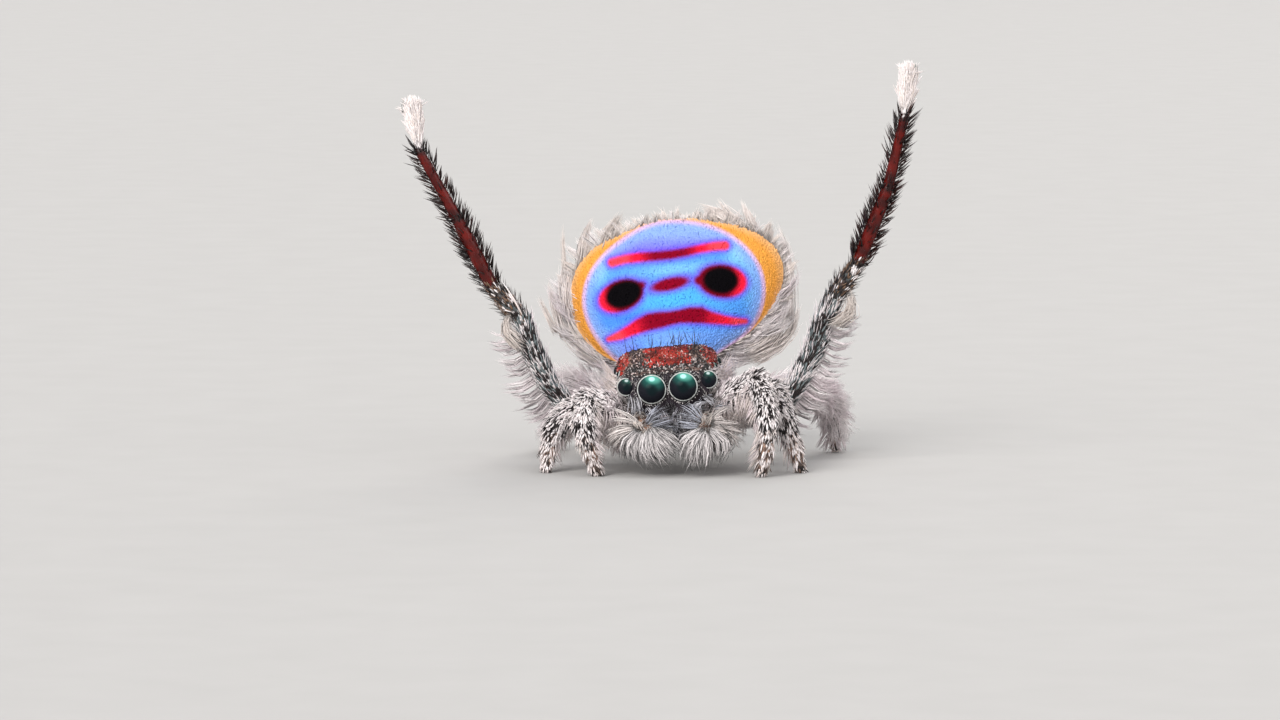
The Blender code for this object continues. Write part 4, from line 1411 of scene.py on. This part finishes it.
def fringe_side(coat, sign):
    """The ruff at one side: layer behind layer, from the lower half of the disc and the belly behind it."""
    for layer in range(4):
        for turn in np.radians(np.arange(4.0, 70.0, 4.2)):
            turn = turn + rng.uniform(-0.04, 0.04)
            edge = float(disc_edge(-turn if sign > 0 else math.pi + turn)) - 0.06 - 0.09 * layer
            out = np.array((sign * math.cos(turn), 0.0, -math.sin(turn)))
            root = FAN_CENTRE + edge * out + (0.0, 0.08 + 0.12 * layer + 0.1 * edge ** 2, 0.0)
            length = rng.uniform(0.5, 0.8) * (1.0 + 0.3 * turn)
            flow = unit(0.95 * out + np.array((0.0, 0.0, 0.85)) + 0.12 * rng.normal(size=3))
            control = root + length * (0.55 * out + 0.08 * FAN_UP)
            coat.lock(root, control, root + length * flow * 0.95, int(25 * THINNING), 0.036, 0.034, 0.013,
                      tones(1, LILAC_HAIR, WHITE_HAIR, 0.6, 0.95)[0], 0.04)


def fan_fringe(skin):
    """Soft locks round the fan, short over the top, and long ones that flow out and up at the sides."""
    coat = long_coat(skin)
    for *places, wide, bright in FAN_LOCKS:
        places = [(x, 2.06 + 0.1 * x * x, z) for x, z in np.reshape(places, (3, 2)) / 100]
        spread_by = 0.007 * wide
        coat.lock(*places, int(9 * wide * THINNING), spread_by, 0.6 * spread_by, 0.014,
                  mix(CREAM_HAIR, WHITE_HAIR, bright - 0.5) * bright ** 0.3, 0.03)
    for angle in np.radians(np.arange(-14.0, 196.0, 3.2)):
        angle = angle + rng.uniform(-0.02, 0.02)
        edge = disc_edge(angle) + border_width(angle) - 0.04
        side, up = math.cos(angle), math.sin(angle)
        out = side * FAN_RIGHT + up * FAN_UP
        root = fan_point(np.array(edge * side), np.array(edge * up), np.array(-0.03))
        length = rng.uniform(0.1, 0.2) + 0.1 * side ** 2
        sweep = 0.5 * length * FAN_UP * abs(side) - 0.2 * length * FAN_RIGHT * up
        tip = root + length * out + sweep + 0.03 * rng.normal(size=3)
        coat.lock(root, (root + tip) / 2 + 0.12 * length * out, tip, int(12 * THINNING) + 2, 0.018, 0.026,
                  0.011, tones(1, CREAM_HAIR, WHITE_HAIR, dim=0.95)[0], 0.04)
    for sign in (1.0, -1.0):
        fringe_side(coat, sign)
    coat.finish("fan_fringe", HAIR_MATERIAL, "belly_hair")


def belly_coat(skin):
    coat = hair_coat(skin)
    u, v, w = fan_coordinates(skin.centres)
    beside = np.hypot(u, v) > fan_edge(np.arctan2(v, u))
    abdomen = skin.of("abdomen")
    coat.cover((skin.of("fan") & (w <= 0.02)) | (abdomen & ((w < -0.2) | beside)), 700, (0.12, 0.24), 0.014,
               (0.25, 0.7), patchy(skin, CREAM_HAIR, GREY_HAIR, 0.2, 8, 0.7), stray=0.35, tuft=5)
    open_side = beside | (skin.normals[:, 1] > 0.3)
    coat.cover(abdomen & (skin.centres[:, 2] < 1.9) & open_side, 260, (0.3, 0.5), 0.016, (0.5, 0.9),
               (CREAM_HAIR, LILAC_HAIR), tuft=8)
    coat.cover(skin.of("spinnerets", "pedicel"), 400, (0.05, 0.1), 0.012, 0.4, GREY_HAIR)
    coat.finish("belly_hair", HAIR_MATERIAL, "belly_hair")


def away_from_eyes(skin, margin):
    """Which faces no eye covers."""
    clear = np.ones(len(skin.owner), bool)
    for _, _, centre, radius, _, _ in eye_places():
        clear &= np.linalg.norm(skin.centres - centre, axis=1) > radius + margin
    return clear


def crown_colour(points, local):
    """Red in the middle and at the sides, brown and dark between, with single pale scales, and pink specks on
    the red that are painted highlights.
    """
    count, y = len(points), local[:, 1]
    red = crown_red(local) * (0.75 + 0.5 * noise(points, 0.05, 31))
    plain = choose(chance(count, 0.5), CROWN_BROWN, CROWN_DARK)
    front = (1.0 - ramp(y, 0.16, 0.3))[:, None]
    plain = plain * (1.0 - front) + front * choose(chance(count, 0.24), GREY_HAIR, DARK_HAIR)
    colour = choose(chance(count, red), tones(count, CROWN_RED, CROWN_BRICK), plain)
    colour = colour * (0.4 + 0.9 * noise(points, 0.045, 37)[:, None])
    colour = colour * (1.0 - 0.6 * ramp(y, 0.5, 0.85)[:, None])
    colour = choose(chance(count, 0.09), BLACK_HAIR, colour)
    # Painted highlights: pink specks scattered over the red scales.
    colour = choose(chance(count, 0.08 * red), CROWN_PAINTED_GLINT, colour)
    pale = chance(count, 0.03 + 0.045 * (1 - red) * (1 - ramp(y, 0.25, 0.6)))
    return choose(pale, CROWN_PALE, colour)


def head_coat(skin):
    scales, hair, bristles = scale_coat(skin), hair_coat(skin), hair_coat(skin)
    pebbles = Coat(skin, (0.5,), (1.0,), 5, 0.6)
    local = to_head(skin.centres)
    x, y, z = local.T
    head = skin.of("carapace") & away_from_eyes(skin, 0.02)
    crown = head & (z > 0.19) & (y < 1.5)
    pebbles.cover(crown, 2200, (0.03, 0.056), (0.02, 0.038), 0.6,
                  lambda faces: crown_colour(skin.centres[faces], local[faces]), stray=0.8)

    def rear_colour(faces):
        return tones(len(faces), CROWN_DARK, TAN, 3.0) * (0.5 + 0.4 * ramp(y[faces], 1.6, 2.0)[:, None])

    rear = head & ~crown & (z > 0.0) & (y > 1.25)
    pebbles.cover(rear, 1100, (0.05, 0.08), 0.024, 0.4, rear_colour, stray=0.6)
    sides = head & ~crown & ~rear & (y > 0.1)
    scales.cover(sides, 800, (0.06, 0.11), (0.016, 0.024), 0.25, (GREY_HAIR, WHITE_HAIR, 1.5, 0.6), stray=0.3)
    hair.cover(sides & (y < 1.45), 260, (0.14, 0.3), 0.012, (0.3, 0.8), (LILAC_HAIR, CREAM_HAIR),
               stray=0.3, tuft=6)

    # Long pale hair streams from the thorax out, back and up, between the legs and the fan.
    for sign in (-1.0, 1.0):
        flank = skin.of("carapace") & (sign * x > 0.45) & (y > 0.65) & (y < 1.5) & (z < 0.05)
        hair.cover(flank, 420, (0.4, 0.72), 0.013, (0.3, 0.5), (LILAC_HAIR, ROSY_HAIR), stray=0.16,
                   lean=(sign, 0.62, 0.36), tuft=8)

    def face_colour(faces):
        """Darkest between the eyes, and blue-grey hairs only below them."""
        shade = rng.uniform(size=len(faces))
        dark = (shade < 0.6) | ((np.abs(x[faces]) < 0.16) & (shade > 0.2))
        return choose(dark, FACE_HIDE, choose(z[faces] < -0.16, BLUE_GREY, GREY_HAIR))

    face = head & (y <= 0.1) & ~crown & (away_from_eyes(skin, 0.06) | (z > -0.1))
    hair.cover(face, 1400, (0.05, 0.1), 0.012, (0.25, 0.6), face_colour, stray=0.35)

    def jaw_colour(faces):
        count = len(faces)
        return choose(chance(count, 0.5), FACE_HIDE, tones(count, BLUE_GREY, LILAC_HAIR, 2.0))

    jaws = skin.of("chelicera") & away_from_eyes(skin, 0.09)
    hair.cover(jaws, 900, (0.12, 0.22), 0.013, (0.2, 0.5), jaw_colour, stray=0.3, tuft=6)
    # Thin dark bristles stand up along the crown's far edge.
    edge = head & (z > 0.4) & (y > 0.35) & (y < 0.95) & (np.abs(x) < 0.6)
    bristles.cover(edge, 34, (0.12, 0.36), 0.01, (0.7, 1.4), BLACK_HAIR, stray=0.6)
    bristles.finish("crown_bristles", BRISTLE_MATERIAL, "body_hide")
    scales.finish("head_scales", SCALE_MATERIAL, "body_hide")
    pebbles.finish("crown_scales", SCALE_MATERIAL, "body_hide")
    hair.finish("head_hair", HAIR_MATERIAL, "body_hide")

    # A ring of small pale scales stands round each eye.
    lashes = scale_coat(skin)
    for _, _, centre, radius, rim, look in eye_places():
        across, up = square_to(look, (0.0, 0.0, 1.0))
        count = int(56 * radius / 0.2) + 12
        turns = 2 * np.pi * (np.arange(count) + spread(count, -0.3, 0.3)) / count
        out = np.cos(turns)[:, None] * across + np.sin(turns)[:, None] * up
        depth = math.sqrt(radius ** 2 - rim ** 2)
        roots = centre + (depth - 0.035) * look + (rim + 0.018) * out
        ahead = unit(0.75 * look + 0.5 * out + 0.15 * rng.normal(size=(count, 3)))
        colour = choose(chance(count, 0.4), DARK_HAIR, tones(count, WHITE_HAIR, GREY_HAIR))
        run = ahead * spread(count, 0.035, 0.06)[:, None]
        lashes.add(roots, run, np.zeros((count, 3)), 0.014, colour, None, out)
    lashes.finish("eye_lashes", SCALE_MATERIAL, "body_hide")


# Locks of the feelers and cheeks, in hundredths of a millimetre: root, bow and tip as right and up
# in the picture.
BRUSH_LOCKS = (
    (-26, 64, -41, 42, -24, 14), (-26, 64, -34, 39, -16, 13), (-24, 64, -26, 38, -8, 16),
    (-23, 64, -16, 38, 1, 18), (-22, 66, -5, 42, 9, 24), (-20, 66, 6, 47, 17, 29),
    (-19, 67, 14, 56, 24, 39), (-22, 64, -11, 49, 1, 35), (-24, 63, -27, 46, -16, 29),
    (48, 66, 14, 57, 13, 34), (48, 66, 17, 46, 19, 22), (48, 64, 24, 38, 24, 14),
    (49, 64, 31, 35, 32, 10), (49, 64, 39, 35, 41, 9), (50, 64, 48, 35, 48, 11), (50, 64, 56, 41, 53, 18),
    (48, 64, 31, 52, 28, 32), (49, 63, 42, 46, 41, 27),
)
ARC_LOCKS = (
    (-37, 64, -66, 41, -37, 13), (-35, 63, -55, 39, -42, 20), (-34, 63, -46, 38, -31, 17),
    (-41, 64, -71, 52, -63, 27), (-40, 63, -63, 46, -53, 21), (56, 66, 95, 52, 75, 16),
    (54, 64, 81, 49, 67, 20), (53, 64, 64, 46, 60, 21), (56, 67, 100, 46, 81, 28),
)
SIDE_LOCKS = (
    (-44, 65, -71, 57, -78, 34), (-44, 66, -77, 59, -87, 40), (-44, 68, -77, 65, -89, 50),
    (-44, 69, -73, 72, -88, 59), (-41, 72, -63, 84, -81, 78), (-40, 73, -60, 93, -77, 94),
    (60, 66, 86, 59, 102, 37), (60, 68, 89, 65, 110, 43), (60, 69, 93, 71, 114, 54),
    (59, 65, 81, 54, 89, 36), (59, 76, 78, 90, 85, 65), (57, 78, 72, 96, 92, 96),
    (60, 73, 86, 79, 106, 68),
)
UP_LOCKS = (
    (-30, 69, -22, 87, 6, 94), (-29, 70, -17, 81, 12, 85), (-27, 69, -11, 76, 16, 77),
    (-26, 67, -5, 69, 19, 67), (-31, 72, -27, 90, -9, 101), (48, 73, 31, 90, 12, 95),
    (46, 73, 31, 85, 7, 85), (46, 72, 28, 78, 5, 76), (45, 69, 28, 70, 6, 66), (49, 76, 39, 98, 23, 103),
)
CHEEK_LOCKS = (
    (56, 95, 41, 102, 30, 86), (50, 108, 60, 108, 69, 92), (64, 92, 75, 102, 88, 93),
    (-42, 106, -37, 97, -38, 84), (-27, 92, -16, 87, -22, 74), (-49, 107, -44, 93, -52, 79),
    (40, 98, 45, 95, 41, 84),
)
KNOT_LOCKS = (
    (-42, 70, -46, 74, -45, 80), (54, 74, 58, 80, 60, 90), (50, 76, 49, 82, 51, 88),
    (-36, 68, -40, 72, -38, 78),
)
# A group is its locks, the depths of their roots, bows and tips in millimetres, their colour, the strands in
# a lock, their spread at the root and at the tip, and the share of them that is dark, which is painted shade.
LOCK_GROUPS = (
    (BRUSH_LOCKS, (-0.46, -0.72, -0.56), WHITE_HAIR, 27, 0.024, 0.044, 0.3),
    # Painted shade: dark locks set behind the brush, for the shadowed gaps between its pale strands.
    (BRUSH_LOCKS, (-0.4, -0.63, -0.48), DARK_HAIR, 15, 0.03, 0.05, 0.0),
    (ARC_LOCKS, (-0.44, -0.62, -0.5), WHITE_HAIR, 24, 0.014, 0.016, 0.16),
    # Painted shade: dark locks set behind the arcs, for the shadowed gaps between them.
    (ARC_LOCKS, (-0.36, -0.52, -0.42), DARK_HAIR, 26, 0.03, 0.045, 0.0),
    (SIDE_LOCKS, (-0.4, -0.46, -0.34), mix(CREAM_HAIR, WHITE_HAIR, 0.5), 18, 0.016, 0.026, 0.2),
    (UP_LOCKS, (-0.4, -0.5, -0.3), BLUE_GREY, 11, 0.016, 0.034, 0.4),
    (CHEEK_LOCKS, (-0.1, -0.26, -0.24), mix(BLUE_GREY, WHITE_HAIR, 0.4), 12, 0.026, 0.04, 0.35),
    (KNOT_LOCKS, (-0.46, -0.52, -0.5), CREAM_HAIR, 14, 0.02, 0.016, 0.1),
)


def feeler_coat(skin):
    coat, short = long_coat(skin), hair_coat(skin)
    for locks, depths, colour, count, at_root, at_tip, dark in LOCK_GROUPS:
        for places in locks:
            places = [(x, y, z) for (x, z), y in zip(np.reshape(places, (3, 2)) / 100, depths)]
            coat.lock(*places, max(int(count * THINNING), 3), at_root, at_tip, 0.0115,
                      colour * rng.uniform(0.7, 1.0), dark)
    short.cover(skin.of("palp"), 900, (0.06, 0.14), 0.014, (0.3, 0.7), (DARK_HAIR, CREAM_HAIR, 1.5),
                stray=0.3, tuft=5)
    coat.finish("palp_locks", HAIR_MATERIAL, "pale_hair")
    short.finish("palp_hair", HAIR_MATERIAL, "pale_hair")


def claws(skin):
    """Two small hooked claws at each standing foot."""
    coat = Coat(skin, (0.3, 0.7), (1.0, 0.7), 5)
    for leg, joints in LEG_JOINTS.items():
        if leg.startswith("leg_3"):
            continue
        ahead = unit((np.array(joints[5]) - joints[1]) * (1.0, 1.0, 0.0))
        side = np.array((-ahead[1], ahead[0], 0.0))
        for sign in (-1.0, 1.0):
            root = np.array(joints[5]) + 0.05 * ahead + sign * 0.025 * side + (0.0, 0.0, 0.045)
            run = 0.075 * ahead + (0.0, 0.0, 0.02)
            coat.add(root[None], run[None], np.array(((0.0, 0.0, -0.055),)), 0.022, BLACK_HAIR)
    coat.finish("claws", BRISTLE_MATERIAL, "leg_scales")


SCALE_MATERIAL = tinted_material("coat_scales", 0.5, 60000.0, 0.2, 0.35)
HAIR_MATERIAL = tinted_material("coat_hair", 0.5, 40000.0, 0.1, 0.4, 0.35)
BRISTLE_MATERIAL = tinted_material("coat_bristles", 0.3, 40000.0, 0.1)
FAN_MATERIAL = tinted_material("fan_scale_finish", 0.6, 60000.0, 0.15, 0.06)
SKIN_MATERIAL = tinted_material("skin", 0.6, 45000.0, 0.5, 0.3, rough_from_tint=True)


def make_skin():
    skin = Skin(skin_pieces())
    mesh = skin.mesh
    set_points(mesh, skin.points)
    set_tint(mesh, hide_colour(skin, skin.points, skin.part, skin.along))
    mesh.materials.clear()
    made = finished("skin", mesh, SKIN_MATERIAL)
    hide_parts(*[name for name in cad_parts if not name.startswith("eye_")])
    return skin


make_camera()
make_stage()
skin = make_skin()
make_eyes()
head_coat(skin)
feeler_coat(skin)
walking_legs(skin)
raised_legs(skin)
fan_scales(skin)
fan_fringe(skin)
belly_coat(skin)
claws(skin)
